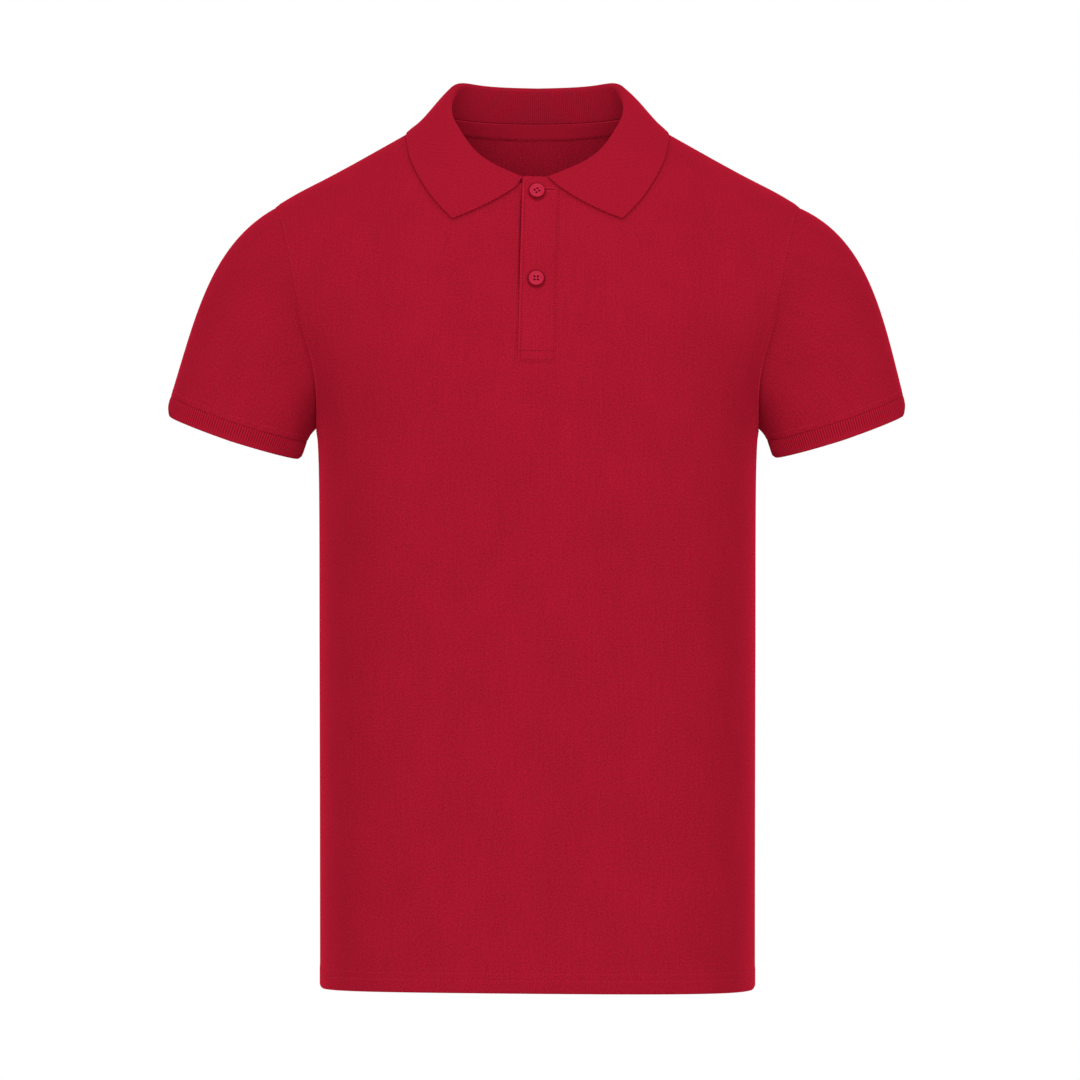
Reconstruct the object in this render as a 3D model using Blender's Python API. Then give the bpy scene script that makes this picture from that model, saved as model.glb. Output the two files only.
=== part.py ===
"""A man's short-sleeved polo shirt in its worn, filled-out form, with nobody inside.

The front faces -Y, +Z is up and the origin lies midway between the neck ends of the two
shoulder seams, where the wearer's shoulders carry the shirt. All sizes are in metres.

The cloth follows one body form, a stack of level oval sections from hem to neck. Each panel
is a sheet laid on that form between its own seams and given the thickness of its cloth. A
place on the form is an angle and a run: the angle is 0 at the centre front, 90 degrees at
the side seam and the shoulder seam and 180 at the centre back, and the run is the distance
up the side of the form.
"""

import math

import bmesh
import bpy
import numpy as np

# Cloth
BODY_WALL = 0.0014        # cotton pique
HEM_WALL = 0.0027         # the same, turned up inside
HEM_HEIGHT = 0.0175
COLLAR_WALL = 0.0016      # flat-knitted collar
CUFF_WALL = 0.0015        # rib cuff
PLACKET_WALL = 0.0018     # placket band, folded double
TAPE_WALL = 0.0010        # neck tape
SEAM_GAP = 0.0004         # space between two pieces at a seam

# Body form: one row for each level section, from hem to neck
SECTION_COLUMNS = ("height", "half_width", "front_depth", "back_depth", "squareness")
SECTIONS = (
    (-0.7155, 0.1775, 0.1260, 0.1120, 0.045),
    (-0.6000, 0.1776, 0.1265, 0.1090, 0.045),
    (-0.5000, 0.1778, 0.1280, 0.1070, 0.045),
    (-0.4000, 0.1780, 0.1300, 0.1090, 0.045),
    (-0.3100, 0.1783, 0.1305, 0.1140, 0.040),
    (-0.2750, 0.1791, 0.1292, 0.1158, 0.035),
    (-0.2575, 0.1806, 0.1279, 0.1164, 0.030),
    (-0.2460, 0.1829, 0.1269, 0.1167, 0.026),
    (-0.2300, 0.1876, 0.1249, 0.1168, 0.021),
    (-0.2120, 0.1960, 0.1217, 0.1166, 0.015),
    (-0.1926, 0.2085, 0.1175, 0.1158, 0.008),
    (-0.1741, 0.2232, 0.1125, 0.1143, 0.003),
    (-0.1587, 0.2345, 0.1075, 0.1125, 0.000),
    (-0.1433, 0.2420, 0.1020, 0.1100, 0.000),
    (-0.1216, 0.2440, 0.0930, 0.1055, 0.000),
    (-0.1012, 0.2359, 0.0835, 0.0995, 0.000),
    (-0.0773, 0.2145, 0.0715, 0.0905, 0.000),
    (-0.0554, 0.1768, 0.0600, 0.0800, 0.000),
    (-0.0290, 0.1284, 0.0460, 0.0650, 0.000),
    (-0.0120, 0.0984, 0.0345, 0.0520, 0.000),
    (0.0000, 0.0780, 0.0240, 0.0400, 0.000),
)
FRONT_HEM_RISE = 0.0040           # the hem is this much higher at the centre front

# Neckline
NECK_HALF_WIDTH = 0.0780
FRONT_NECK_DROP = 0.0590
BACK_NECK_DROP = 0.0063

# Armhole, seen from the front: the seam from the underarm to the shoulder tip
ARMHOLE_COLUMNS = ("height", "half_width")
ARMHOLE = (
    (-0.2575, 0.1806),
    (-0.2460, 0.1801),
    (-0.2300, 0.1804),
    (-0.2120, 0.1821),
    (-0.1926, 0.1868),
    (-0.1741, 0.1922),
    (-0.1587, 0.1955),
    (-0.1433, 0.1986),
    (-0.1216, 0.2024),
    (-0.1012, 0.2070),
    (-0.0870, 0.2108),
    (-0.0773, 0.2145),
)

# Sleeve and cuff
CUFF_OUTER_LEFT = (-0.3028, -0.2437)      # X and Z of the two ends of each cuff's edge
CUFF_INNER_LEFT = (-0.1925, -0.2813)
CUFF_OUTER_RIGHT = (0.2995, -0.2440)
CUFF_INNER_RIGHT = (0.1945, -0.2800)
CUFF_HALF_DEPTH = 0.0440
CUFF_FORWARD = -0.004             # Y of the cuff's centre
CUFF_TILT = math.radians(5.0)     # the front of the cuff hangs lower than its back
CUFF_HEIGHT = 0.0150
CUFF_STEP = 0.0005                # the rib lies this much inside the sleeve's face
CUFF_SAG = 0.0008
SLEEVE_FALL_LEFT = math.radians(16.5)     # the sleeve's lean from upright at the cuff
SLEEVE_FALL_RIGHT = math.radians(13.0)
SLEEVE_LEAD_COLUMNS = (
    "turn", "start_pull", "follow_body", "end_pull", "lift_left", "lift_right",
)
SLEEVE_LEAD = (
    (0.0, 0.225, 1.00, 0.190, 0.08, 0.22),
    (45.0, 0.190, 0.75, 0.180, 0.05, 0.14),
    (90.0, 0.130, 0.50, 0.140, 0.00, 0.00),
    (130.0, 0.080, 0.20, 0.070, 0.00, 0.00),
    (155.0, 0.045, 0.00, 0.030, 0.00, 0.00),
    (180.0, 0.035, 0.00, 0.014, 0.00, 0.00),
)

# Placket
PLACKET_LEFT = -0.0158            # at the foot
PLACKET_RIGHT = 0.0148
PLACKET_LEAN = 0.027              # sideways for each unit up
PLACKET_FOOT = -0.2050
PLACKET_TOP = -0.0545
PLACKET_TOP_UNDER_COLLAR = -0.0596
UNDER_SHOWS = 0.0024              # width of the under band seen beside the over band

# Collar: one row for each station from the front end to the centre back. The roll is the
# top of the fold; the edge lies on the body form at an angle and a height.
COLLAR_END_LEFT = -0.0130
COLLAR_END_RIGHT = 0.0092
COLLAR_COLUMNS = (
    "turn", "roll_x", "roll_y", "roll_z", "roll_radius", "edge_angle", "edge_height",
)
COLLAR = (
    (8.2, 0.0108, -0.0582, -0.0558, 0.0019, 17.6, -0.0890),
    (28.0, 0.0342, -0.0540, -0.0437, 0.0022, 21.8, -0.0775),
    (44.0, 0.0508, -0.0455, -0.0317, 0.0024, 29.3, -0.0610),
    (59.0, 0.0625, -0.0335, -0.0156, 0.0027, 42.1, -0.0421),
    (73.0, 0.0695, -0.0195, -0.0022, 0.0030, 61.0, -0.0250),
    (86.0, 0.0712, -0.0050, 0.0098, 0.0033, 84.0, -0.0165),
    (100.0, 0.0690, 0.0100, 0.0195, 0.0035, 101.0, -0.0161),
    (118.0, 0.0625, 0.0240, 0.0253, 0.0035, 120.0, -0.0178),
    (138.0, 0.0480, 0.0355, 0.0250, 0.0035, 140.0, -0.0222),
    (160.0, 0.0250, 0.0420, 0.0234, 0.0035, 160.5, -0.0262),
    (180.0, 0.0000, 0.0440, 0.0228, 0.0035, 180.0, -0.0275),
)
COLLAR_CLEAR = 0.0006

# Neck tape
TAPE_WIDTH = 0.0140
TAPE_CLEAR = 0.0004

# Buttons
BUTTON_RADIUS = 0.0062
BUTTON_THICK = 0.0024
BUTTON_HOLE_RADIUS = 0.0007
BUTTON_HOLE_SPREAD = 0.0019       # from the button's centre to a hole's centre
BUTTON_CLEAR = 0.0004
BUTTON_COLUMNS = ("x", "height", "turn")
BUTTONS = (
    (-0.0004, -0.0657, 34.0),
    (-0.0010, -0.1376, 0.0),
)

# Mesh counts
ROWS_BELOW_ARM = 12
ROWS_AT_ARM = 15
ROWS_ON_SHOULDER = 7
COLUMNS_HALF = 12
SLEEVE_RINGS = 11
CUFF_RINGS = 2

RIGHT, LEFT = 1, -1       # the sign of X on each side


def natural_spline(knots, rows):
    """The smooth curve through a table's rows, as a function that takes the knot."""
    knots = np.asarray(knots, float)
    rows = np.asarray(rows, float)
    step = np.diff(knots)
    slope = np.diff(rows, axis=0) / step[:, None]
    matrix = np.eye(len(knots))
    right = np.zeros_like(rows)
    for i in range(1, len(knots) - 1):
        matrix[i, i - 1 : i + 2] = step[i - 1], 2 * (step[i - 1] + step[i]), step[i]
        right[i] = 6 * (slope[i] - slope[i - 1])
    bend = np.linalg.solve(matrix, right)

    def value(at):
        at = np.asarray(at, float)
        i = np.clip(np.searchsorted(knots, at, side="right") - 1, 0, len(step) - 1)
        h = step[i][..., None]
        a = (knots[i + 1][..., None] - at[..., None]) / h
        b = 1 - a
        arch = (a**3 - a) * bend[i] + (b**3 - b) * bend[i + 1]
        return a * rows[i] + b * rows[i + 1] + arch * h**2 / 6

    return value


def unit(vectors):
    return vectors / np.maximum(np.linalg.norm(vectors, axis=-1, keepdims=True), 1e-12)


def ease(value):
    value = np.clip(value, 0.0, 1.0)
    return value * value * (3 - 2 * value)


SECTION_ROWS = np.array(SECTIONS)
SECTION_KNOTS = np.concatenate(
    [[0.0], np.cumsum(np.hypot(np.diff(SECTION_ROWS[:, 0]), np.diff(SECTION_ROWS[:, 1])))]
)
section_at = natural_spline(SECTION_KNOTS, SECTION_ROWS)
RUNS = np.linspace(0.0, SECTION_KNOTS[-1], 2001)
RUN_HEIGHTS = section_at(RUNS)[:, 0]
armhole_at = natural_spline([row[0] for row in ARMHOLE], [row[1:] for row in ARMHOLE])
collar_at = natural_spline([row[0] for row in COLLAR], [row[1:] for row in COLLAR])
sleeve_lead_at = natural_spline([row[0] for row in SLEEVE_LEAD], [row[1:] for row in SLEEVE_LEAD])


def run_at(height):
    return np.interp(height, RUN_HEIGHTS, RUNS)


def section_shape(angle, squareness):
    """Across and through on a section of half width 1 and depth 1."""
    across = (np.sin(angle) + squareness * np.sin(3 * angle)) / (1 - squareness)
    through = (np.cos(angle) - squareness * np.cos(3 * angle)) / (1 - squareness)
    return across, through


def form_point(angle, run):
    """The point of the body form's face at an angle in radians, signed as X, and a run."""
    angle, run = np.broadcast_arrays(np.asarray(angle, float), np.asarray(run, float))
    height, half_width, front, back, squareness = np.moveaxis(section_at(run), -1, 0)
    at_back = np.abs(angle) > math.pi / 2
    turned = np.where(at_back, np.sign(angle) * (math.pi - np.abs(angle)), angle)
    across, through = section_shape(turned, squareness)
    y = np.where(at_back, back, -front) * through
    return np.stack([half_width * across, y, height], axis=-1)


def form_normal(angle, run):
    """The outward normal of the body form."""
    small = 1e-4
    run = np.clip(run, small, SECTION_KNOTS[-1] - small)
    up = form_point(angle, run + small) - form_point(angle, run - small)
    round_it = form_point(np.asarray(angle) + small, run) - form_point(np.asarray(angle) - small, run)
    normal = unit(np.cross(round_it, up))
    flip = np.sum(normal * form_point(angle, run) * (1, 1, 0), axis=-1, keepdims=True) < 0
    return np.where(flip, -normal, normal)


def angle_at(x, run, back=False):
    """The angle at which the form has this X."""
    _, half_width, _, _, squareness = np.moveaxis(section_at(run), -1, 0)
    share = np.clip(np.abs(x) / half_width, 0.0, 1.0)
    low = np.zeros_like(share)
    high = np.full_like(share, math.pi / 2)
    for _ in range(40):
        middle = (low + high) / 2
        under = section_shape(middle, squareness)[0] < share
        low = np.where(under, middle, low)
        high = np.where(under, high, middle)
    angle = np.where(share >= 1.0, math.pi / 2, (low + high) / 2)
    return np.sign(x) * (math.pi - angle if back else angle)


def neck_place(turn):
    """Angle and run on the neckline; turn runs from 0 at the centre front to 180 degrees."""
    turn = np.asarray(turn, float)
    drop = np.where(turn > math.pi / 2, BACK_NECK_DROP, FRONT_NECK_DROP)
    height = -drop * np.abs(np.cos(turn))
    run = run_at(height)
    x = NECK_HALF_WIDTH * np.sin(turn)
    front = angle_at(x, run)
    return np.where(turn > math.pi / 2, math.pi - front, front), run


def outer_edge():
    """Angle and run of each row's end: up the side seam, the armhole and the shoulder seam."""
    underarm = float(run_at(ARMHOLE[0][0]))
    hem_top = float(run_at(SECTIONS[0][0] + HEM_HEIGHT))
    tip = float(run_at(ARMHOLE[-1][0]))
    above_hem = np.linspace(hem_top + 0.0015, underarm, ROWS_BELOW_ARM - 1)
    below = np.concatenate([[0.0, hem_top], above_hem])
    fine = np.linspace(underarm, tip, 400)
    fine_angles = angle_at(armhole_at(section_at(fine)[:, 0])[:, 0], fine)
    seam = form_point(fine_angles, fine)
    length = np.concatenate([[0.0], np.cumsum(np.linalg.norm(np.diff(seam, axis=0), axis=1))])
    arm = np.interp(np.linspace(0, length[-1], ROWS_AT_ARM + 1)[1:-1], length, fine)
    on_shoulder = np.linspace(tip, SECTION_KNOTS[-1], ROWS_ON_SHOULDER + 1)
    runs = np.concatenate([below, arm, on_shoulder])
    angles = np.full(len(runs), math.pi / 2)
    first = len(below)
    heights = section_at(arm)[:, 0]
    angles[first : first + len(arm)] = angle_at(armhole_at(heights)[:, 0], arm)
    return angles, runs


def half_panel(back, inner_x):
    """Angles and runs of a half panel's grid, and its neckline turns. Rows run up."""
    outer_angles, outer_runs = outer_edge()
    last = len(outer_runs) - 1
    below = ROWS_BELOW_ARM
    drop = BACK_NECK_DROP if back else FRONT_NECK_DROP
    top_height = -drop * math.sqrt(1 - (inner_x(0.0) / NECK_HALF_WIDTH) ** 2)
    first_turn = math.asin(min(1.0, abs(inner_x(top_height)) / NECK_HALF_WIDTH))
    top_height = -drop * math.cos(first_turn)
    inner_heights = section_at(outer_runs)[:, 0].copy()
    foot_row = below + 3
    if back:
        inner_heights[below:] = np.linspace(inner_heights[below], top_height, last - below + 1)
    else:
        inner_heights[below : foot_row + 1] = np.linspace(
            inner_heights[below], PLACKET_FOOT - SEAM_GAP, foot_row - below + 1
        )
        inner_heights[foot_row:] = np.linspace(
            PLACKET_FOOT - SEAM_GAP, top_height, last - foot_row + 1
        )
    inner_runs = run_at(inner_heights)
    inner_x_values = np.array([inner_x(height) for height in inner_heights])
    inner_angles = angle_at(inner_x_values, inner_runs)
    across = np.linspace(0.0, 1.0, COLUMNS_HALF + 1)
    # columns crowd toward the shoulder seam, where the form turns sharply
    crowd = 1 - (1 - across) ** (1.15 if back else 1.55)
    turns = first_turn + (math.pi / 2 - first_turn) * crowd
    neck_angles, neck_runs = neck_place(math.pi - turns if back else turns)
    if back:
        neck_angles = math.pi - neck_angles
    weight = ease((np.arange(last + 1) - below + 1) / (last - below + 1))[:, None]
    # inside the panel the columns follow an evened-out edge
    even = outer_angles.copy()
    for _ in range(8):
        even[1:-1] = (even[:-2] + 2 * even[1:-1] + even[2:]) / 4
    angles = inner_angles[:, None] * (1 - across) + even[:, None] * across
    angles = angles + (outer_angles - even)[:, None] * across**5
    runs = inner_runs[:, None] * (1 - across) + outer_runs[:, None] * across
    angles = angles + weight * (neck_angles - angles[-1])
    runs = runs + weight * (neck_runs - runs[-1])
    if not back:
        hem_rise = FRONT_HEM_RISE * np.cos(angles) ** 2
        fade = ease(1 - (runs - outer_runs[0]) / 0.12)
        runs = runs + hem_rise * fade
    # the seam edges stand back by half the gap
    depth = np.abs(form_point(math.pi if back else 0.0, outer_runs)[:, 1])
    on_seam = outer_angles > math.pi / 2 - 1e-9
    angles[:, -1] -= np.where(on_seam, 0.5 * SEAM_GAP / depth, 0.0)
    return angles, runs, turns, foot_row


def front_line(x_at_foot):
    """The X of a line that follows the placket's lean above its foot."""

    def x_at(height):
        return x_at_foot + PLACKET_LEAN * max(0.0, height - PLACKET_FOOT)

    return x_at


def sheet_object(name, outer, inner, keep, material, closed_columns=False):
    """A closed wall between two grids of points, over the kept cells."""
    rows, columns = outer.shape[:2]
    across = columns if closed_columns else columns - 1
    index = np.arange(rows * columns).reshape(rows, columns)
    faces = []
    for r in range(rows - 1):
        for c in range(across):
            if keep is None or keep[r][c]:
                d = (c + 1) % columns
                faces.append((index[r, c], index[r, d], index[r + 1, d], index[r + 1, c]))
    points = np.concatenate([outer.reshape(-1, 3), inner.reshape(-1, 3)])
    count = rows * columns
    edges = {(f[i], f[(i + 1) % 4]) for f in faces for i in range(4)}
    walls = [(b, a, a + count, b + count) for a, b in edges if (b, a) not in edges]
    backs = [tuple(i + count for i in reversed(f)) for f in faces]
    return mesh_object(name, points, faces + backs + walls, material)


def mesh_object(name, points, faces, material):
    mesh = bpy.data.meshes.new(name)
    work = bmesh.new()
    used = sorted({int(i) for f in faces for i in f})
    made = {i: work.verts.new([float(v) for v in points[i]]) for i in used}
    for face in faces:
        work.faces.new([made[int(i)] for i in face])
    bmesh.ops.remove_doubles(work, verts=work.verts, dist=1e-7)
    if work.calc_volume(signed=True) < 0:
        bmesh.ops.reverse_faces(work, faces=work.faces)
    work.to_mesh(mesh)
    work.free()
    body = bpy.data.objects.new(name, mesh)
    bpy.context.scene.collection.objects.link(body)
    body.data.materials.append(material)
    return body


def plain_material(name, colour, roughness):
    material = bpy.data.materials.new(name)
    material.use_nodes = True
    shader = material.node_tree.nodes["Principled BSDF"]
    shader.inputs["Base Color"].default_value = (*colour, 1.0)
    shader.inputs["Roughness"].default_value = roughness
    return material


def body_walls(shape):
    """The wall thickness at each row: double in the turned-up hem."""
    walls = np.full(shape, BODY_WALL)
    walls[:2] = HEM_WALL
    return walls[..., None]


def build_front(material):
    slot_left = front_line(PLACKET_LEFT - UNDER_SHOWS - SEAM_GAP)
    slot_right = front_line(PLACKET_RIGHT + SEAM_GAP)
    left_angles, left_runs, _, foot_row = half_panel(False, lambda z: abs(slot_left(z)))
    right_angles, right_runs, _, _ = half_panel(False, slot_right)
    middle_share = np.array([1 / 3, 2 / 3])
    left_in, right_in = -left_angles[:, :1], right_angles[:, :1]
    middle_angles = left_in + (right_in - left_in) * middle_share
    middle_runs = left_runs[:, :1] + (right_runs[:, :1] - left_runs[:, :1]) * middle_share
    angles = np.concatenate([-left_angles[:, ::-1], middle_angles, right_angles], axis=1)
    runs = np.concatenate([left_runs[:, ::-1], middle_runs, right_runs], axis=1)
    outer = form_point(angles, runs)
    inner = outer - form_normal(angles, runs) * body_walls(outer.shape[:2])
    keep = np.ones((outer.shape[0] - 1, outer.shape[1] - 1), bool)
    keep[foot_row:, COLUMNS_HALF : COLUMNS_HALF + 3] = False
    return sheet_object("front", outer, inner, keep, material)


def build_back(material):
    angles, runs, _, _ = half_panel(True, lambda z: 0.0)
    angles = np.concatenate([-angles[:, ::-1], angles[:, 1:]], axis=1)
    runs = np.concatenate([runs[:, ::-1], runs[:, 1:]], axis=1)
    angles = np.where(angles < 0, -math.pi - angles, math.pi - angles)
    outer = form_point(angles, runs)
    inner = outer - form_normal(angles, runs) * body_walls(outer.shape[:2])
    return sheet_object("back", outer, inner, None, material)


def armhole_ring():
    """Angles, runs and turns round the armhole, from the tip down the front and up the back."""
    outer_angles, outer_runs = outer_edge()
    rows = slice(ROWS_BELOW_ARM, ROWS_BELOW_ARM + ROWS_AT_ARM + 1)
    angles, runs = outer_angles[rows][::-1], outer_runs[rows][::-1]
    angles = np.concatenate([angles, math.pi - angles[1:-1][::-1]])
    runs = np.concatenate([runs, runs[1:-1][::-1]])
    turns = np.linspace(0.0, 2 * math.pi, len(runs), endpoint=False)
    return angles, runs, turns


def sleeve_curves(side):
    """A sleeve's curves from the armhole to the cuff's edge, as a function, mirrored to +X."""
    angles, runs, turns = armhole_ring()
    start = form_point(angles, runs)
    normal = form_normal(angles, runs)
    along = unit(np.roll(start, -1, axis=0) - np.roll(start, 1, axis=0))
    away = unit(np.cross(normal, along))
    away *= np.where(np.sum(away[:1] * (1, 0, 0)) < 0, -1, 1)
    outer_end = CUFF_OUTER_RIGHT if side == RIGHT else CUFF_OUTER_LEFT
    inner_end = CUFF_INNER_RIGHT if side == RIGHT else CUFF_INNER_LEFT
    outer = np.array([abs(outer_end[0]), CUFF_FORWARD, outer_end[1]])
    inner = np.array([abs(inner_end[0]), CUFF_FORWARD, inner_end[1]])
    centre, reach = (outer + inner) / 2, (outer - inner) / 2
    down = unit(np.array([reach[2], 0.0, -reach[0]]))
    forward = np.array([0.0, -math.cos(CUFF_TILT), 0.0]) + down * math.sin(CUFF_TILT)
    end = (
        centre
        + np.cos(turns)[:, None] * reach
        + np.sin(turns)[:, None] * CUFF_HALF_DEPTH * forward
    )
    end = end + CUFF_SAG * (1 - np.abs(np.cos(turns)))[:, None] * down
    lead = sleeve_lead_at(180 - np.abs(180 - np.degrees(turns)))
    start_pull, follow, end_pull = lead[:, :1], np.clip(lead[:, 1:2], 0, 1), lead[:, 2:3]
    lift = lead[:, 4:5] if side == RIGHT else lead[:, 3:4]
    low = ease((np.abs(180 - np.degrees(turns)) - 10) / 50)[:, None]
    start = start + away * SEAM_GAP * (0.3 + 0.7 * low) + normal * SEAM_GAP * 1.2 * (1 - low)
    pull = follow * away + (1 - follow) * unit(end - start + down * 0.01)
    pull = unit(pull + lift * np.array([0.0, 0.0, 1.0]))
    fall = SLEEVE_FALL_RIGHT if side == RIGHT else SLEEVE_FALL_LEFT
    lead_in = pull * start_pull
    lead_out = np.array([math.sin(fall), 0.0, -math.cos(fall)]) * end_pull

    def value(share):
        share = np.asarray(share, float)[..., None]
        s2, s3 = share**2, share**3
        return (
            (2 * s3 - 3 * s2 + 1) * start
            + (s3 - 2 * s2 + share) * lead_in
            + (3 * s2 - 2 * s3) * end
            + (s3 - s2) * lead_out
        )

    return value, len(turns)


def grid_normals(grid, closed_columns):
    """Normals of a grid of points, by the differences across each point."""
    up = np.gradient(grid, axis=0)
    if closed_columns:
        round_it = np.roll(grid, -1, axis=1) - np.roll(grid, 1, axis=1)
    else:
        round_it = np.gradient(grid, axis=1)
    return unit(np.cross(round_it, up))


def sleeve_grids(side):
    """Face points of a sleeve and of its cuff, from the armhole outward, mirrored to +X."""
    value, count = sleeve_curves(side)
    shares = np.linspace(0, 1, 201)
    fine = value(np.repeat(shares[:, None], count, axis=1))
    lengths = np.concatenate(
        [np.zeros((1, count)), np.cumsum(np.linalg.norm(np.diff(fine, axis=0), axis=-1), axis=0)]
    )
    total = lengths[-1]
    sleeve_end = total - CUFF_HEIGHT - SEAM_GAP
    cuff_start = total - CUFF_HEIGHT

    def at_lengths(wanted):
        share = np.stack(
            [np.interp(wanted[:, c], lengths[:, c], shares) for c in range(count)], axis=1
        )
        return value(share)

    sleeve = at_lengths(np.linspace(0, 1, SLEEVE_RINGS + 1)[:, None] * sleeve_end)
    step = np.linspace(0, 1, CUFF_RINGS + 1)[:, None]
    cuff = at_lengths(cuff_start + step * (total - cuff_start))
    return sleeve, cuff


def build_sleeves(body_material, cuff_material):
    made = []
    for side, suffix in ((RIGHT, "_right"), (LEFT, "_left")):
        mirror = np.array([side, 1, 1])
        sleeve, cuff = sleeve_grids(side)
        sleeve_out, cuff_out = grid_normals(sleeve, True), grid_normals(cuff, True)
        if np.sum(sleeve_out * (sleeve - sleeve.mean(axis=1, keepdims=True))) < 0:
            sleeve_out, cuff_out = -sleeve_out, -cuff_out
        cuff = cuff - cuff_out * CUFF_STEP
        made.append(
            sheet_object(
                "sleeve" + suffix,
                sleeve * mirror,
                (sleeve - sleeve_out * BODY_WALL) * mirror,
                None,
                body_material,
                closed_columns=True,
            )
        )
        made.append(
            sheet_object(
                "cuff" + suffix,
                cuff * mirror,
                (cuff - cuff_out * CUFF_WALL) * mirror,
                None,
                cuff_material,
                closed_columns=True,
            )
        )
    return made


def placket_rise(x, height):
    """How far the over band's face stands above the front's at a place."""
    left = PLACKET_LEFT + PLACKET_LEAN * np.maximum(0.0, height - PLACKET_FOOT)
    share = (x - left) / (PLACKET_RIGHT - PLACKET_LEFT)
    return (PLACKET_WALL + SEAM_GAP) * (1 - np.clip(share, 0, 1))


def front_point(x, height, rise):
    """A point of the front at X and height, moved out by rise."""
    run = run_at(height)
    angle = angle_at(x, run)
    return form_point(angle, run) + form_normal(angle, run) * np.asarray(rise)[..., None]


def band_grid(left, right, top, columns, rows):
    """X and height over a placket band between two leaning lines, up to a top line."""
    across = np.linspace(0, 1, columns + 1)
    x_foot = left + (right - left) * across
    x_top = x_foot + PLACKET_LEAN * (PLACKET_TOP - PLACKET_FOOT)
    tops = np.array([top(x) for x in x_top])
    height = PLACKET_FOOT + np.linspace(0, 1, rows + 1)[:, None] * (tops - PLACKET_FOOT)
    return x_foot + PLACKET_LEAN * (height - PLACKET_FOOT), height


def build_plackets(material):
    step_at = COLLAR_END_RIGHT - 0.0012

    def over_top(x):
        drop = ease((x - step_at) / 0.0012 + 1)
        return PLACKET_TOP + (PLACKET_TOP_UNDER_COLLAR - PLACKET_TOP) * drop

    def under_top(x):
        return PLACKET_TOP_UNDER_COLLAR

    x, height = band_grid(PLACKET_LEFT, PLACKET_RIGHT, over_top, 12, 14)
    rise = placket_rise(x, height)
    over = sheet_object(
        "placket_over",
        front_point(x, height, rise),
        front_point(x, height, rise - PLACKET_WALL),
        None,
        material,
    )
    x, height = band_grid(
        PLACKET_LEFT - UNDER_SHOWS, PLACKET_RIGHT, under_top, 12, 14
    )
    rise = placket_rise(x, height) - PLACKET_WALL - SEAM_GAP
    under = sheet_object(
        "placket_under",
        front_point(x, height, rise),
        front_point(x, height, rise - PLACKET_WALL),
        None,
        material,
    )
    return [over, under]


def form_gap(points):
    """Distance from the body form's face, outside positive, and the direction away from it."""

    def level(p):
        section = section_at(run_at(np.minimum(p[..., 2], 0.0)))
        over = np.maximum(p[..., 2], 0.0)
        half_width = np.maximum(section[..., 1] - 1.8 * over, 0.01)
        front = np.maximum(section[..., 2] - 0.85 * over, 0.004)
        back = np.maximum(section[..., 3] - 1.0 * over, 0.004)
        depth = np.where(p[..., 1] > 0, back, front)
        return np.hypot(p[..., 0] / half_width, p[..., 1] / depth) - 1

    here = level(points)
    small = 1e-4
    slope = np.stack(
        [
            (level(points + small * axis) - level(points - small * axis)) / (2 * small)
            for axis in np.eye(3)
        ],
        axis=-1,
    )
    size = np.linalg.norm(slope, axis=-1)
    return here / size, slope / size[..., None]


def push_clear(points, need):
    """Points moved out softly until they stand clear of the body form."""
    soft = 0.0008
    for _ in range(4):
        gap, out = form_gap(points)
        lack = np.clip((need - gap) / soft, -30, 30)
        points = points + out * (soft * np.log1p(np.exp(lack)) * 0.7)[..., None]
        gap, out = form_gap(points)
        points = points + out * np.maximum(need - gap, 0.0)[..., None]
        soft *= 0.5
    return points


def slerp(a, b, share):
    """Unit vectors turned evenly from a to b."""
    dot = np.clip(np.sum(a * b, axis=-1, keepdims=True), -0.9999, 0.9999)
    whole = np.arccos(dot)
    return (np.sin((1 - share) * whole) * a + np.sin(share * whole) * b) / np.sin(whole)


def collar_stations():
    turns = np.radians(np.concatenate([
        np.linspace(8.2, 90, 16)[:-1], np.linspace(90, 180, 14)
    ]))
    return turns


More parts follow.
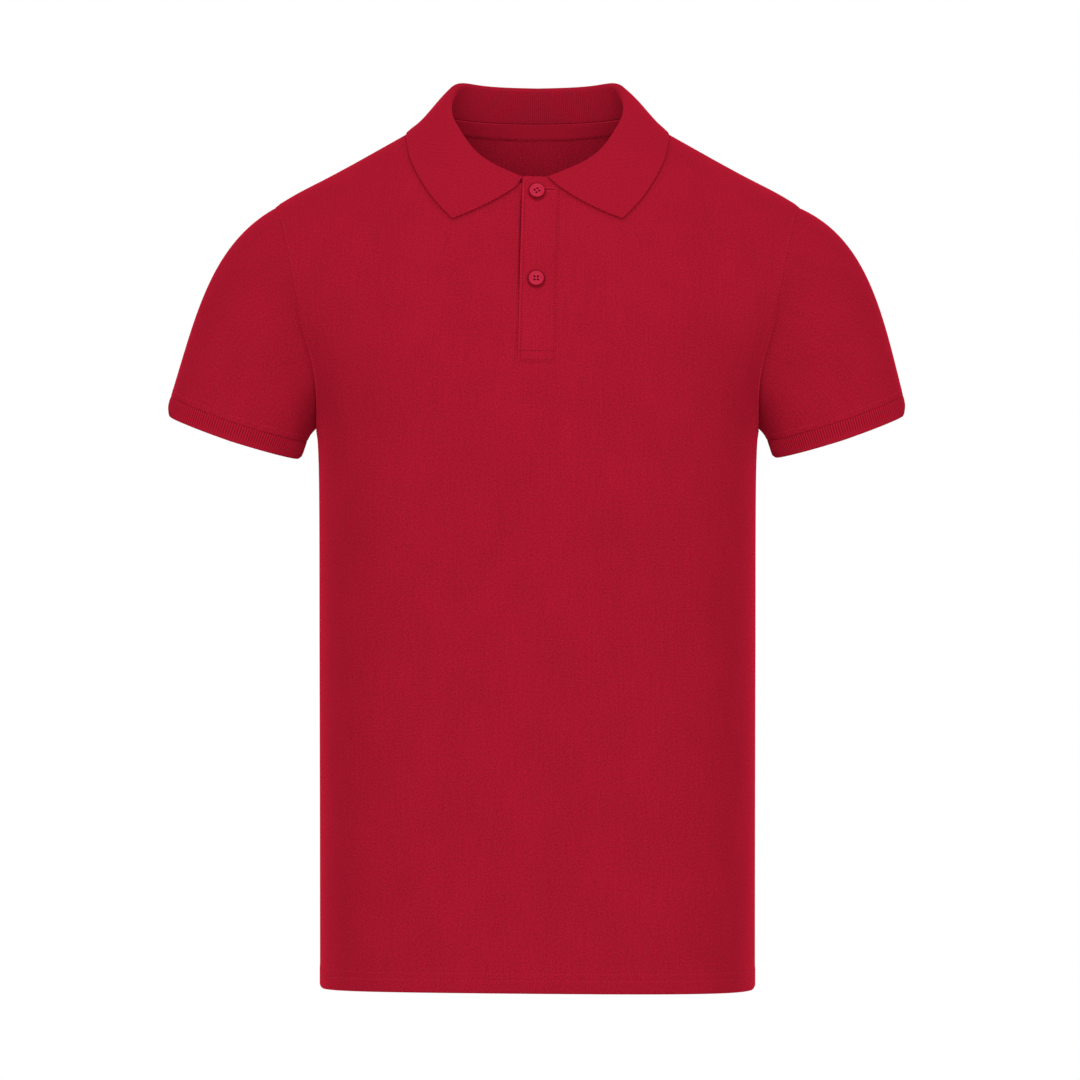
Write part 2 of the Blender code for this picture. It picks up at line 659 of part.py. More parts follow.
def collar_half(side):
    """Face points of half the collar, from its front end to the centre back."""
    turns = collar_stations()
    table = collar_at(np.degrees(turns))
    end_x = COLLAR_END_RIGHT if side == RIGHT else -COLLAR_END_LEFT
    shift = (end_x - COLLAR[0][1]) * (1 - ease((turns - turns[0]) / math.radians(45)))
    roll = np.stack([table[:, 0] + shift, table[:, 1], table[:, 2]], axis=-1)
    radius = table[:, 3:4]
    edge_angle = np.radians(table[:, 4])
    edge_run = run_at(table[:, 5])
    edge = form_point(edge_angle, edge_run)
    edge = edge + form_normal(edge_angle, edge_run) * (COLLAR_CLEAR + COLLAR_WALL)
    neck_turns = np.arcsin(
        np.clip(np.sin(turns) + shift / NECK_HALF_WIDTH * (turns < 1.2), 0, 1)
    )
    neck_turns = np.where(turns > math.pi / 2, math.pi - neck_turns, neck_turns)
    neck_angle, neck_run = neck_place(neck_turns)
    neck = form_point(neck_angle, neck_run)
    out = form_normal(neck_angle, neck_run)
    along_neck = unit(np.gradient(neck, axis=0))
    into = unit(np.cross(out, along_neck))
    into = np.where((into @ np.array([0.0, 0.0, 1.0]))[:, None] < 0, -into, into)
    foot = neck + into * COLLAR_CLEAR - out * COLLAR_WALL
    along = unit(np.gradient(roll, axis=0))
    along[-1] = (-1, 0, 0)
    level_out = unit(out * (1, 1, 0))
    stand_dir = unit(roll - foot)
    stand_face = unit(np.cross(along, stand_dir))
    stand_face = np.where(
        np.sum(stand_face * level_out, axis=-1, keepdims=True) > 0, -stand_face, stand_face
    )
    # a stand that leans outward from the panel is lifted so its outer corner stays clear
    dip = np.maximum(0.0, np.sum(stand_face * into, axis=-1, keepdims=True))
    foot = foot + into * COLLAR_WALL * dip
    top = unit(np.cross(stand_face, along))
    top = np.where(top[:, 2:3] < 0, -top, top)
    hub = roll - top * radius
    leaf_dir = unit(edge - hub)
    leaf_face = unit(np.cross(along, leaf_dir))
    leaf_face = np.where(
        np.sum(leaf_face * level_out, axis=-1, keepdims=True) < 0, -leaf_face, leaf_face
    )
    rows = []
    stand_top = hub + stand_face * radius
    for share in np.linspace(0, 1, 4)[:-1]:
        rows.append(foot + (stand_top - foot) * share)
    for share in np.linspace(0, 1, 4)[:-1]:
        rows.append(hub + slerp(stand_face, top, share) * radius)
    for share in np.linspace(0, 1, 4)[:-1]:
        rows.append(hub + slerp(top, leaf_face, share) * radius)
    leaf_top = hub + leaf_face * radius
    length = np.linalg.norm(edge - leaf_top, axis=-1, keepdims=True)
    edge_out = form_normal(edge_angle, edge_run)
    flat = leaf_dir - edge_out * np.sum(leaf_dir * edge_out, axis=-1, keepdims=True)
    arrive = unit(0.5 * leaf_dir + 0.5 * unit(flat))
    first_leaf_row = len(rows)
    for share in np.linspace(0, 1, 8):
        a, b = leaf_top + leaf_dir * length / 3, edge - arrive * length / 3
        rows.append(
            (1 - share) ** 3 * leaf_top
            + 3 * (1 - share) ** 2 * share * a
            + 3 * (1 - share) * share**2 * b
            + share**3 * edge
        )
    face = np.array(rows)
    leaf = face[first_leaf_row:]
    x, z = leaf[..., 0] * side, leaf[..., 2]
    on_band = (z > PLACKET_FOOT) & (leaf[..., 1] < 0)
    left = PLACKET_LEFT + PLACKET_LEAN * np.maximum(0.0, z - PLACKET_FOOT)
    right = left + PLACKET_RIGHT - PLACKET_LEFT
    near = ease(1 - np.maximum(np.maximum(left - x, x - right), 0) / 0.003)
    need = COLLAR_CLEAR + COLLAR_WALL + placket_rise(x, z) * near * on_band
    face[first_leaf_row:] = push_clear(leaf, need)
    return face


def build_collar(material):
    right, left = collar_half(RIGHT), collar_half(LEFT)
    face = np.concatenate([left * (-1, 1, 1), right[:, ::-1][:, 1:]], axis=1)
    out = grid_normals(face, False)
    sample = face[-1, face.shape[1] // 2]
    if np.dot(out[-1, face.shape[1] // 2], sample * (1, 1, 0)) < 0:
        out = -out
    return sheet_object("collar", face, face - out * COLLAR_WALL, None, material)


def build_tape(material):
    turns = np.radians(np.linspace(92.5, 267.5, 27))
    half = np.where(turns > math.pi, 2 * math.pi - turns, turns)
    angle, run = neck_place(half)
    neck = form_point(angle, run)
    # the tape runs down the panel from the neckline
    rows = []
    for share in np.linspace(0, 1, 4):
        drop = 0.0008 + TAPE_WIDTH * share
        spread = 1 + 0.10 * share * (half < math.radians(178))
        height = neck[:, 2] - drop * (0.55 + 0.45 * np.abs(np.cos(half)))
        lower_run = run_at(height)
        x = np.abs(neck[:, 0]) * spread
        lower_angle = angle_at(x, lower_run, back=True)
        lower_angle = np.where(x == 0, math.pi, lower_angle)
        limit = math.pi / 2 + 0.0014 / np.abs(form_point(math.pi, lower_run)[:, 1])
        lower_angle = np.maximum(lower_angle, limit)
        sign = np.where(turns > math.pi, -1, 1)
        place = form_point(lower_angle, lower_run)
        out = form_normal(lower_angle, lower_run)
        rows.append((place * np.stack([sign, sign**2, sign**2], -1),
                     out * np.stack([sign, sign**2, sign**2], -1)))
    face = np.array([p - n * (BODY_WALL + TAPE_CLEAR) for p, n in rows])
    back = np.array([p - n * (BODY_WALL + TAPE_CLEAR + TAPE_WALL) for p, n in rows])
    return sheet_object("neck_tape", face, back, None, material)


def build_buttons(material):
    made = []
    for number, (x, height, turn) in enumerate(BUTTONS, 1):
        rise = float(placket_rise(np.float64(x), np.float64(height)))
        half_slope = (PLACKET_WALL + SEAM_GAP) / (PLACKET_RIGHT - PLACKET_LEFT) * BUTTON_RADIUS
        out = form_normal(angle_at(np.float64(x), run_at(height)), run_at(height))
        base = front_point(np.float64(x), np.float64(height), rise + BUTTON_CLEAR + half_slope)
        side = unit(np.cross(np.array([0.0, 0.0, 1.0]), out))
        side = side if side[0] > 0 else -side
        up = unit(np.cross(out, side))
        up = up if up[2] > 0 else -up
        radius, thick = BUTTON_RADIUS, BUTTON_THICK
        profile = (
            (0.00, 0.0), (0.86, 0.0), (1.00, 0.30 * thick), (1.00, 0.72 * thick),
            (0.93, thick), (0.80, thick), (0.66, 0.74 * thick), (0.00, 0.70 * thick),
        )
        sides = 24
        points, faces = [], []
        for share, level in profile:
            count = 1 if share == 0 else sides
            ring = []
            for i in range(count):
                a = 2 * math.pi * i / sides
                flat = side * math.cos(a) + up * math.sin(a)
                ring.append(base + flat * share * radius + out * level)
            points.append(ring)
        flat_points = [p for ring in points for p in ring]
        starts = np.cumsum([0] + [len(ring) for ring in points])
        for k in range(len(points) - 1):
            for i in range(sides):
                j = (i + 1) % sides
                a = starts[k] + (i if len(points[k]) > 1 else 0)
                b = starts[k] + (j if len(points[k]) > 1 else 0)
                c = starts[k + 1] + (j if len(points[k + 1]) > 1 else 0)
                d = starts[k + 1] + (i if len(points[k + 1]) > 1 else 0)
                faces.append(tuple(dict.fromkeys((a, b, c, d))))
        button = mesh_object(f"button_{number}", np.array(flat_points), faces, material)
        cut_points, cut_faces = [], []
        for quarter in range(4):
            a = math.radians(turn + 45 + 90 * quarter)
            centre = base + (side * math.cos(a) + up * math.sin(a)) * BUTTON_HOLE_SPREAD
            first = len(cut_points)
            for level in (-0.001, thick + 0.001):
                for i in range(8):
                    b = 2 * math.pi * i / 8
                    flat = side * math.cos(b) + up * math.sin(b)
                    cut_points.append(centre + flat * BUTTON_HOLE_RADIUS + out * level)
            for i in range(8):
                j = (i + 1) % 8
                cut_faces.append((first + i, first + j, first + 8 + j, first + 8 + i))
            cut_faces.append(tuple(first + i for i in reversed(range(8))))
            cut_faces.append(tuple(first + 8 + i for i in range(8)))
        cutter = mesh_object(f"button_{number}_holes", np.array(cut_points), cut_faces, material)
        cutter.hide_render = True
        cutter.display_type = "WIRE"
        cut = button.modifiers.new("holes", "BOOLEAN")
        cut.operation = "DIFFERENCE"
        cut.solver = "EXACT"
        cut.object = cutter
        made.append(button)
    return made


def main():
    for old in list(bpy.data.objects):
        bpy.data.objects.remove(old)
    body = plain_material("body pique", (0.376, 0.009, 0.027), 0.85)
    collar = plain_material("collar knit", (0.380, 0.009, 0.028), 0.85)
    cuff = plain_material("rib knit", (0.370, 0.009, 0.027), 0.85)
    placket = plain_material("placket pique", (0.380, 0.009, 0.028), 0.85)
    tape = plain_material("neck tape", (0.370, 0.010, 0.028), 0.80)
    button = plain_material("button plastic", (0.520, 0.014, 0.040), 0.25)
    build_front(body)
    build_back(body)
    build_sleeves(body, cuff)
    build_collar(collar)
    build_plackets(placket)
    build_tape(tape)
    build_buttons(button)


main()
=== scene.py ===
import math

import bmesh
import bpy
import numpy as np
from mathutils import Matrix, Vector
from mathutils.bvhtree import BVHTree
from mathutils.kdtree import KDTree


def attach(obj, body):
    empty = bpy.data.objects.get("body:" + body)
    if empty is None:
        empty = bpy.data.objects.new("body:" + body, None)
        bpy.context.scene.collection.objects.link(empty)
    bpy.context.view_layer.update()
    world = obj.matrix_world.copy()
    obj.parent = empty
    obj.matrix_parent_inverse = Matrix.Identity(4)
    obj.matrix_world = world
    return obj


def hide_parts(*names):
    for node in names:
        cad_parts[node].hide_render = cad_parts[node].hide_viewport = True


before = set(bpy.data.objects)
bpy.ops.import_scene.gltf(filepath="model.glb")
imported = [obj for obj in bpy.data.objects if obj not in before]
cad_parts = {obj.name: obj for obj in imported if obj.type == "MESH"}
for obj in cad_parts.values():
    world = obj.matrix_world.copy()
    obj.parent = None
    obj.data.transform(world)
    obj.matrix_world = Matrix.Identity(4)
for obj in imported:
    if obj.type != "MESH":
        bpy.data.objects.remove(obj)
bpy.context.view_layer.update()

# Cloth, in metres
BODY_WALL = 0.0014
HEM_WALL = 0.0027
HEM_HEIGHT = 0.0175
COLLAR_WALL = 0.0016
CUFF_WALL = 0.0013
PLACKET_WALL = 0.0018
TAPE_WALL = 0.0007
SEAM_GAP = 0.0004

# Body form: height, half width, front depth, back depth, squareness
SECTIONS = (
    (-0.7155, 0.1775, 0.1260, 0.1120, 0.045),
    (-0.6000, 0.1776, 0.1265, 0.1090, 0.045),
    (-0.5000, 0.1778, 0.1280, 0.1070, 0.045),
    (-0.4000, 0.1780, 0.1300, 0.1090, 0.045),
    (-0.3100, 0.1783, 0.1305, 0.1140, 0.040),
    (-0.2750, 0.1791, 0.1292, 0.1158, 0.035),
    (-0.2575, 0.1806, 0.1279, 0.1164, 0.030),
    (-0.2460, 0.1829, 0.1269, 0.1167, 0.026),
    (-0.2300, 0.1876, 0.1249, 0.1168, 0.021),
    (-0.2120, 0.1960, 0.1217, 0.1166, 0.015),
    (-0.1926, 0.2085, 0.1175, 0.1158, 0.008),
    (-0.1741, 0.2232, 0.1125, 0.1143, 0.003),
    (-0.1587, 0.2345, 0.1075, 0.1125, 0.000),
    (-0.1433, 0.2420, 0.1020, 0.1100, 0.000),
    (-0.1216, 0.2440, 0.0930, 0.1055, 0.000),
    (-0.1012, 0.2359, 0.0835, 0.0995, 0.000),
    (-0.0773, 0.2145, 0.0715, 0.0905, 0.000),
    (-0.0554, 0.1768, 0.0600, 0.0800, 0.000),
    (-0.0290, 0.1284, 0.0460, 0.0650, 0.000),
    (-0.0120, 0.0984, 0.0345, 0.0520, 0.000),
    (0.0000, 0.0780, 0.0240, 0.0400, 0.000),
)
HEM_LEVELS = (                     # turn in degrees, height above the form's foot
    (-180.0, 0.0018), (-90.0, 0.0022), (-62.0, 0.0031), (-36.0, 0.0037), (-10.0, 0.0035),
    (15.0, 0.0027), (40.0, 0.0019), (65.0, 0.0014), (90.0, 0.0014), (180.0, 0.0018),
)
HEM_CORNER = 0.0036                # radius of the hem's corner at the side seams
CORNER_SOFT = 0.0003               # how much the very end of a corner is eased
HEM_LEVEL_FADE = 0.12              # height over which the hem's uneven line dies out
HEM_CORNER_FADE = 0.012            # and over which its corners do
NECK_HALF_WIDTH = 0.0780
FRONT_NECK_DROP = 0.0590
BACK_NECK_DROP = 0.0063
ARMHOLE = (                        # height, half width of the panel there
    (-0.2575, 0.1806),
    (-0.2460, 0.1801),
    (-0.2300, 0.1804),
    (-0.2120, 0.1821),
    (-0.1926, 0.1868),
    (-0.1741, 0.1922),
    (-0.1587, 0.1955),
    (-0.1433, 0.1986),
    (-0.1216, 0.2024),
    (-0.1012, 0.2070),
    (-0.0870, 0.2108),
    (-0.0773, 0.2145),
)

# Sleeve and cuff
CUFF_OUTER_LEFT = (-0.3037, -0.2452)
CUFF_INNER_LEFT = (-0.1923, -0.2822)
CUFF_OUTER_RIGHT = (0.3020, -0.2446)
CUFF_INNER_RIGHT = (0.1914, -0.2812)
CUFF_HALF_DEPTH = 0.0440
CUFF_FORWARD = -0.004
CUFF_TILT = math.radians(5.0)
CUFF_HEIGHT = 0.0150
CUFF_STEP = 0.0002
CUFF_LAP = 0.0003                  # how far the sleeve reaches past the cuff's seam
CUFF_SAG = 0.0008
SLEEVE_FALL_LEFT = math.radians(18.0)
SLEEVE_FALL_RIGHT = math.radians(14.5)
SLEEVE_LEAD = (                    # turn, pull at the seam, share along it, at the cuff, lifts
    (0.0, 0.195, 1.00, 0.227, 0.18, 0.27),
    (45.0, 0.190, 0.75, 0.180, 0.05, 0.14),
    (90.0, 0.130, 0.50, 0.140, 0.00, 0.00),
    (130.0, 0.080, 0.20, 0.070, 0.00, 0.00),
    (155.0, 0.045, 0.00, 0.030, 0.25, 0.25),
    (180.0, 0.0365, 0.00, 0.020, 0.63, 0.62),
)
SEAM_TUCK = 0.0005                 # how far a sleeve's edge lies under the panels
ARMPIT_DEPTH = 0.0060              # how far the cloth turns in beside the lower armhole
CUFF_RIBS = 168
CUFF_RIB_PITCH = 0.0019
CUFF_RIB_HEIGHT = 0.00034
CUFF_STITCH = 0.0052               # from the cuff's seam to the stitches above it
CUFF_FOLDS = ((0.0043, 0.0018), (0.0030, 0.0008))  # outer, inner: corner radius, drawn in
ARM_STITCH = 0.0032                # from the armhole seam to the stitches beside it

# Placket
PLACKET_LEFT = -0.0158
PLACKET_RIGHT = 0.0148
PLACKET_LEAN = 0.027
PLACKET_FOOT = -0.2050
PLACKET_TOP = -0.0545
PLACKET_TOP_UNDER_ROLL = -0.0572
PLACKET_TOP_UNDER_COLLAR = -0.0596
UNDER_SHOWS = 0.0024
PLACKET_EDGE = 0.0006              # how far the front laps over the band's sewn edges
EDGE_STITCH = 0.0021               # from the band's free edge to its stitches
UNDER_STITCH = 0.0009              # from the under band's seam to the stitches beside it
SEWN_STITCH = 0.0022               # from the band's sewn edges to their stitches
BOX_STITCH = 0.0014                # from the band's foot to its lowest stitches
BOX_TOP_STITCH = 0.0086            # and to the row that closes the box
PLACKET_CORNER = 0.0026
SLOT_CLEAR = 0.00002
BUTTONHOLES = (                    # height, from x, to x
    (-0.0648, -0.0025, 0.0142),
    (-0.1386, -0.0060, 0.0046),
)

# Collar
COLLAR_END_LEFT = -0.0119
COLLAR_END_RIGHT = 0.0080
COLLAR_BOWS = {-1: (0.0034, 0.0040), 1: (0.0043, 0.0004)}  # evenly, and near the roll
LEAF_BULGE = {-1: 0.0008, 1: 0.0020}
COLLAR = (                         # turn, roll x, y, z, roll radius, edge angle, edge height
    (8.2, 0.0108, -0.0580, -0.0541, 0.0019, 17.6, -0.0890),
    (28.0, 0.0342, -0.0540, -0.0437, 0.0022, 21.8, -0.0775),
    (44.0, 0.0508, -0.0455, -0.0317, 0.0024, 29.3, -0.0610),
    (59.0, 0.0625, -0.0335, -0.0156, 0.0027, 42.1, -0.0421),
    (73.0, 0.0695, -0.0195, -0.0022, 0.0030, 61.0, -0.0250),
    (86.0, 0.0712, -0.0050, 0.0098, 0.0033, 84.0, -0.0165),
    (100.0, 0.0693, 0.0100, 0.0203, 0.0035, 101.0, -0.0161),
    (118.0, 0.0625, 0.0240, 0.0261, 0.0035, 120.0, -0.0178),
    (138.0, 0.0480, 0.0355, 0.0250, 0.0035, 140.0, -0.0222),
    (160.0, 0.0250, 0.0420, 0.0234, 0.0035, 160.5, -0.0262),
    (180.0, 0.0000, 0.0440, 0.0228, 0.0035, 180.0, -0.0275),
)
COLLAR_ROWS = (8, 6, 6, 30)        # stand, two quarters of the roll, leaf
COLLAR_CLEAR = 0.0004
COLLAR_PRESSED = 0.60              # how much thinner the collar's edge is over the shoulders
TAPE_WIDTH = 0.0138
TAPE_LAP = 0.0012                  # how far the tape covers the collar's foot
TAPE_CLEAR = 0.0001
TAPE_STITCH = 0.0014               # from each edge of the tape to its stitches
TAPE_ROWS = (
    0.0, 0.0004, 0.0009, 0.0014, 0.0019, 0.0026, 0.0042, 0.0060, 0.0078, 0.0096, 0.0112,
    0.0119, 0.0124, 0.0129, 0.0134, 0.0138,
)

# Buttons
BUTTON_RADIUS = 0.0062
BUTTON_THICK = 0.0024
BUTTON_HOLE_RADIUS = 0.00098
BUTTON_HOLE_SPREAD = 0.0019
BUTTON_CLEAR = 0.0004
BUTTONS = ((-0.0004, -0.0671, 34.0), (-0.0010, -0.1386, 0.0))  # x, height, turn
BUTTON_PROFILE = (                 # out and up, as shares of the radius and the thickness
    (0.0, 0.0), (0.80, 0.0), (0.93, 0.10), (0.985, 0.26), (1.0, 0.44), (0.995, 0.66),
    (0.96, 0.86), (0.90, 0.97), (0.83, 1.0), (0.76, 0.97), (0.69, 0.86), (0.62, 0.72),
    (0.50, 0.64), (0.25, 0.61), (0.0, 0.60),
)
BUTTON_THREAD = (0.00014, 0.00013, 0.0017)
SHANK_RADIUS = 0.0021
SHANK_LENGTH = 0.0012

# Sewing
STITCH = 0.0018
STITCH_PITCH = 0.0028
THREAD = 0.00055
THREAD_FLAT = 0.45                 # a stitch's thickness as a share of its width
THREAD_PROUD = 0.12                # how far its middle stands off the cloth
STITCH_GROOVE = 0.0006             # half width of the groove that a row of stitches draws
HEM_ROWS = (0.0104, 0.0160)

# Distances of grid lines from an edge, close together where a seam dips
NEAR_SEAM = (0.0, 0.0005, 0.0010, 0.0016, 0.0023, 0.0030, 0.0037, 0.0046, 0.0056, 0.0068, 0.0084)
NEAR_SLOT = (0.0, 0.0006, 0.0013, 0.0022, 0.0036)
NEAR_ARM = (0.0, 0.0006, 0.0013, 0.0024, 0.0040)
NEAR_BAND_EDGE = (0.0, 0.0004, 0.0010, 0.0016, 0.0021, 0.0026, 0.0033, 0.0048)
NEAR_BOX = (
    0.0, 0.0004, 0.0009, 0.0014, 0.0020, 0.0030, 0.0042, 0.0055, 0.0068, 0.0078, 0.0086, 0.0094,
)
NEAR_HOLE = (-0.0009, -0.0006, -0.0003, 0.0003, 0.0006, 0.0009)
NEAR_HEM = (
    0.0, 0.0003, 0.0008, 0.0014, 0.0024, 0.0040, 0.0060, 0.0080, 0.0096, 0.0104, 0.0112,
    0.0130, 0.0150, 0.0160, 0.0170, 0.0186, 0.0210,
)
ROWS_BELOW_ARM = 101
ROWS_AT_ARM = 60
ROWS_ON_SHOULDER = 28
ROWS_TO_PLACKET = 12               # from the underarm to the placket's foot
COLUMNS_HALF = 58
COLUMNS_IN_SLOT = 8
SEAM_SAMPLES = 60
EVENING_ROUNDS = 130               # that smooth the panels' outermost columns

RIGHT, LEFT = 1, -1
FRONT, BACK = -1, 1

# Colours, and the even finishes: roughness, sheen, specular, grain scale, detail, tints, relief
RED = (0.192, 0.0045, 0.0132)
# painted highlight: the thread is painted lighter than the cloth so that the raised stitches read
# as light dots
THREAD_RED_PAINTED_LIGHTER = (0.310, 0.0090, 0.0250)
# painted shade: a thread painted dark so that sunk stitches and the buttons' holes read as dark, in
# place of their shadows
THREAD_RED_PAINTED_DARK = (0.100, 0.0026, 0.0076)
BUTTON_RED = (0.268, 0.0070, 0.0240)
PAPER_WHITE = (0.90, 0.90, 0.90)
THREAD_FINISH = (0.7, 0.1, 0.02, 2200.0, 1.0, 0.75, 1.25, 0.00006)
BUTTON_FINISH = (0.34, 0.0, 0.05, 420.0, 3.0, 0.85, 1.15, 0.00002)
PAPER_FINISH = (0.9, 0.0, 0.2, 40.0, 3.0, 0.98, 1.0, 0.0002)
PIQUE_PITCH = (0.00150, 0.00230)   # across and up
COURSE_PITCH = 0.0011

# Studio: lights' place, size and power, and the camera
LIGHTS = (
    ("light_front", (-0.12, -4.4, 0.8), 4.4, 215.0),
    ("light_top", (0.2, -0.7, 2.3), 1.6, 24.0),
)
LIGHTS_AIM = (0, 0, -0.33)
FLOOR_HEIGHT = -1.25
FLOOR_RADIUS = 3.0
CAMERA = (0.00204, -7.0, -0.3482)
CAMERA_SENSOR = 36.0
VIEW_WIDTH = 0.88182               # width of the picture in the plane of the shoulders

# Soft creases: side, from x and z, to x and z, bow, half width, height
CREASES = (
    (FRONT, -0.158, -0.196, -0.062, -0.330, 0.006, 0.017, -0.0013),
    (FRONT, -0.166, -0.232, -0.088, -0.402, 0.010, 0.015, 0.0009),
    (FRONT, 0.160, -0.205, 0.074, -0.318, -0.007, 0.016, -0.0012),
    (FRONT, 0.168, -0.246, 0.104, -0.430, -0.012, 0.018, 0.0010),
    (FRONT, -0.120, -0.470, -0.134, -0.690, 0.004, 0.020, -0.0010),
    (FRONT, 0.128, -0.520, 0.112, -0.705, -0.003, 0.017, 0.0009),
    (FRONT, -0.030, -0.236, -0.070, -0.520, -0.006, 0.026, -0.0008),
    (FRONT, 0.044, -0.300, 0.058, -0.610, 0.006, 0.024, -0.0007),
    (FRONT, -0.014, -0.2045, -0.023, -0.2150, 0.000, 0.0024, 0.0011),
    (BACK, -0.160, -0.170, -0.060, -0.300, 0.008, 0.017, -0.0015),
    (BACK, 0.162, -0.178, 0.078, -0.330, -0.008, 0.015, -0.0013),
    (BACK, -0.168, -0.250, -0.096, -0.440, 0.010, 0.017, 0.0010),
    (BACK, 0.166, -0.238, 0.110, -0.395, -0.010, 0.019, 0.0011),
    (BACK, -0.070, -0.360, -0.086, -0.640, 0.006, 0.024, -0.0010),
    (BACK, 0.052, -0.410, 0.064, -0.700, -0.005, 0.021, 0.0009),
    (BACK, 0.014, -0.100, 0.004, -0.330, 0.004, 0.028, -0.0008),
    (FRONT, -0.206, -0.196, -0.262, -0.222, 0.004, 0.010, -0.0010),
    (FRONT, 0.206, -0.200, 0.258, -0.224, -0.004, 0.009, -0.0010),
    (BACK, -0.204, -0.190, -0.266, -0.218, 0.005, 0.011, -0.0011),
    (BACK, 0.206, -0.186, 0.262, -0.220, -0.003, 0.010, -0.0010),
)


def natural_spline(knots, rows):
    """The smooth curve through a table's rows, as a function of the knot."""
    knots = np.asarray(knots, float)
    rows = np.asarray(rows, float)
    step = np.diff(knots)
    slope = np.diff(rows, axis=0) / step[:, None]
    matrix = np.eye(len(knots))
    right = np.zeros_like(rows)
    for i in range(1, len(knots) - 1):
        matrix[i, i - 1 : i + 2] = step[i - 1], 2 * (step[i - 1] + step[i]), step[i]
        right[i] = 6 * (slope[i] - slope[i - 1])
    bend = np.linalg.solve(matrix, right)

    def value(at):
        at = np.asarray(at, float)
        i = np.clip(np.searchsorted(knots, at, side="right") - 1, 0, len(step) - 1)
        h = step[i][..., None]
        a = (knots[i + 1][..., None] - at[..., None]) / h
        b = 1 - a
        arch = (a**3 - a) * bend[i] + (b**3 - b) * bend[i + 1]
        return a * rows[i] + b * rows[i + 1] + arch * h**2 / 6

    return value


def unit(vectors):
    return vectors / np.maximum(np.linalg.norm(vectors, axis=-1, keepdims=True), 1e-12)


def lengths_along(line):
    """The length along a line up to each of its points."""
    return np.concatenate([[0.0], np.cumsum(np.linalg.norm(np.diff(line, axis=0), axis=1))])


def ease(value):
    value = np.clip(value, 0.0, 1.0)
    return value * value * (3 - 2 * value)


SECTION_ROWS = np.array(SECTIONS)
SECTION_KNOTS = lengths_along(SECTION_ROWS[:, :2])
section_at = natural_spline(SECTION_KNOTS, SECTION_ROWS)
RUNS = np.linspace(0.0, SECTION_KNOTS[-1], 2001)
RUN_HEIGHTS = section_at(RUNS)[:, 0]
armhole_at, collar_at, hem_level_at, sleeve_lead_at = [
    natural_spline([row[0] for row in table], [row[1:] for row in table])
    for table in (ARMHOLE, COLLAR, HEM_LEVELS, SLEEVE_LEAD)
]


def run_at(height):
    return np.interp(height, RUN_HEIGHTS, RUNS)


def section_shape(angle, squareness):
    across = (np.sin(angle) + squareness * np.sin(3 * angle)) / (1 - squareness)
    through = (np.cos(angle) - squareness * np.cos(3 * angle)) / (1 - squareness)
    return across, through


def form_point(angle, run):
    """A point of the body form: angle 0 at the centre front, signed as X."""
    angle, run = np.broadcast_arrays(np.asarray(angle, float), np.asarray(run, float))
    height, half_width, front, back, squareness = np.moveaxis(section_at(run), -1, 0)
    at_back = np.abs(angle) > math.pi / 2
    turned = np.where(at_back, np.sign(angle) * (math.pi - np.abs(angle)), angle)
    across, through = section_shape(turned, squareness)
    return np.stack(
        [half_width * across, np.where(at_back, back, -front) * through, height], axis=-1
    )


def form_normal(angle, run):
    small = 1e-4
    run = np.clip(run, small, SECTION_KNOTS[-1] - small)
    up = form_point(angle, run + small) - form_point(angle, run - small)
    angle = np.asarray(angle)
    round_it = form_point(angle + small, run) - form_point(angle - small, run)
    normal = unit(np.cross(round_it, up))
    flip = np.sum(normal * form_point(angle, run) * (1, 1, 0), axis=-1, keepdims=True) < 0
    return np.where(flip, -normal, normal)


def angle_at(x, run, back=False):
    """The angle at which the form has this X."""
    _, half_width, _, _, squareness = np.moveaxis(section_at(run), -1, 0)
    share = np.clip(np.abs(x) / half_width, 0.0, 1.0)
    low = np.zeros_like(share)
    high = np.full_like(share, math.pi / 2)
    for _ in range(40):
        middle = (low + high) / 2
        under = section_shape(middle, squareness)[0] < share
        low = np.where(under, middle, low)
        high = np.where(under, high, middle)
    angle = np.where(share >= 1.0, math.pi / 2, (low + high) / 2)
    return np.sign(x) * (math.pi - angle if back else angle)


def neck_place(turn):
    turn = np.asarray(turn, float)
    drop = np.where(turn > math.pi / 2, BACK_NECK_DROP, FRONT_NECK_DROP)
    run = run_at(-drop * np.abs(np.cos(turn)))
    front = angle_at(NECK_HALF_WIDTH * np.sin(turn), run)
    return np.where(turn > math.pi / 2, math.pi - front, front), run


UNDERARM = float(run_at(ARMHOLE[0][0]))
SHOULDER_TIP = float(run_at(ARMHOLE[-1][0]))


def arm_line(runs, back=False):
    """The armhole seam's angles at these runs."""
    angles = angle_at(armhole_at(section_at(runs)[:, 0])[:, 0], runs)
    return math.pi - angles if back else angles


def armhole_runs(count):
    """Runs evenly spaced along the front half of the armhole seam, ends included."""
    fine = np.linspace(UNDERARM, SHOULDER_TIP, 800)
    length = lengths_along(form_point(arm_line(fine), fine))
    return np.interp(np.linspace(0, length[-1], count + 1), length, fine)


def outer_edge():
    """Angle and run of each row's end: side seam, armhole, shoulder seam."""
    hem = np.array(NEAR_HEM)
    below = np.concatenate([hem, np.linspace(hem[-1], UNDERARM, ROWS_BELOW_ARM + 1)[1:]])
    arm = armhole_runs(ROWS_AT_ARM)[1:-1]
    on_shoulder = np.linspace(SHOULDER_TIP, SECTION_KNOTS[-1], ROWS_ON_SHOULDER + 1)
    runs = np.concatenate([below, arm, on_shoulder])
    angles = np.full(len(runs), math.pi / 2)
    first = len(below)
    angles[first : first + len(arm)] = arm_line(arm)
    return angles, runs, first - 1


def crowded(near, length, count, near_start=()):
    """Shares from 0 to 1 with the last ones at the given distances from the end."""
    end = 1 - np.array(near)[::-1] / length
    start = np.array(near_start) / length if len(near_start) else np.array([0.0])
    middle = np.linspace(start[-1], end[0], count + 1 - len(start) - len(end) + 2)[1:-1]
    return np.concatenate([start, middle, end])


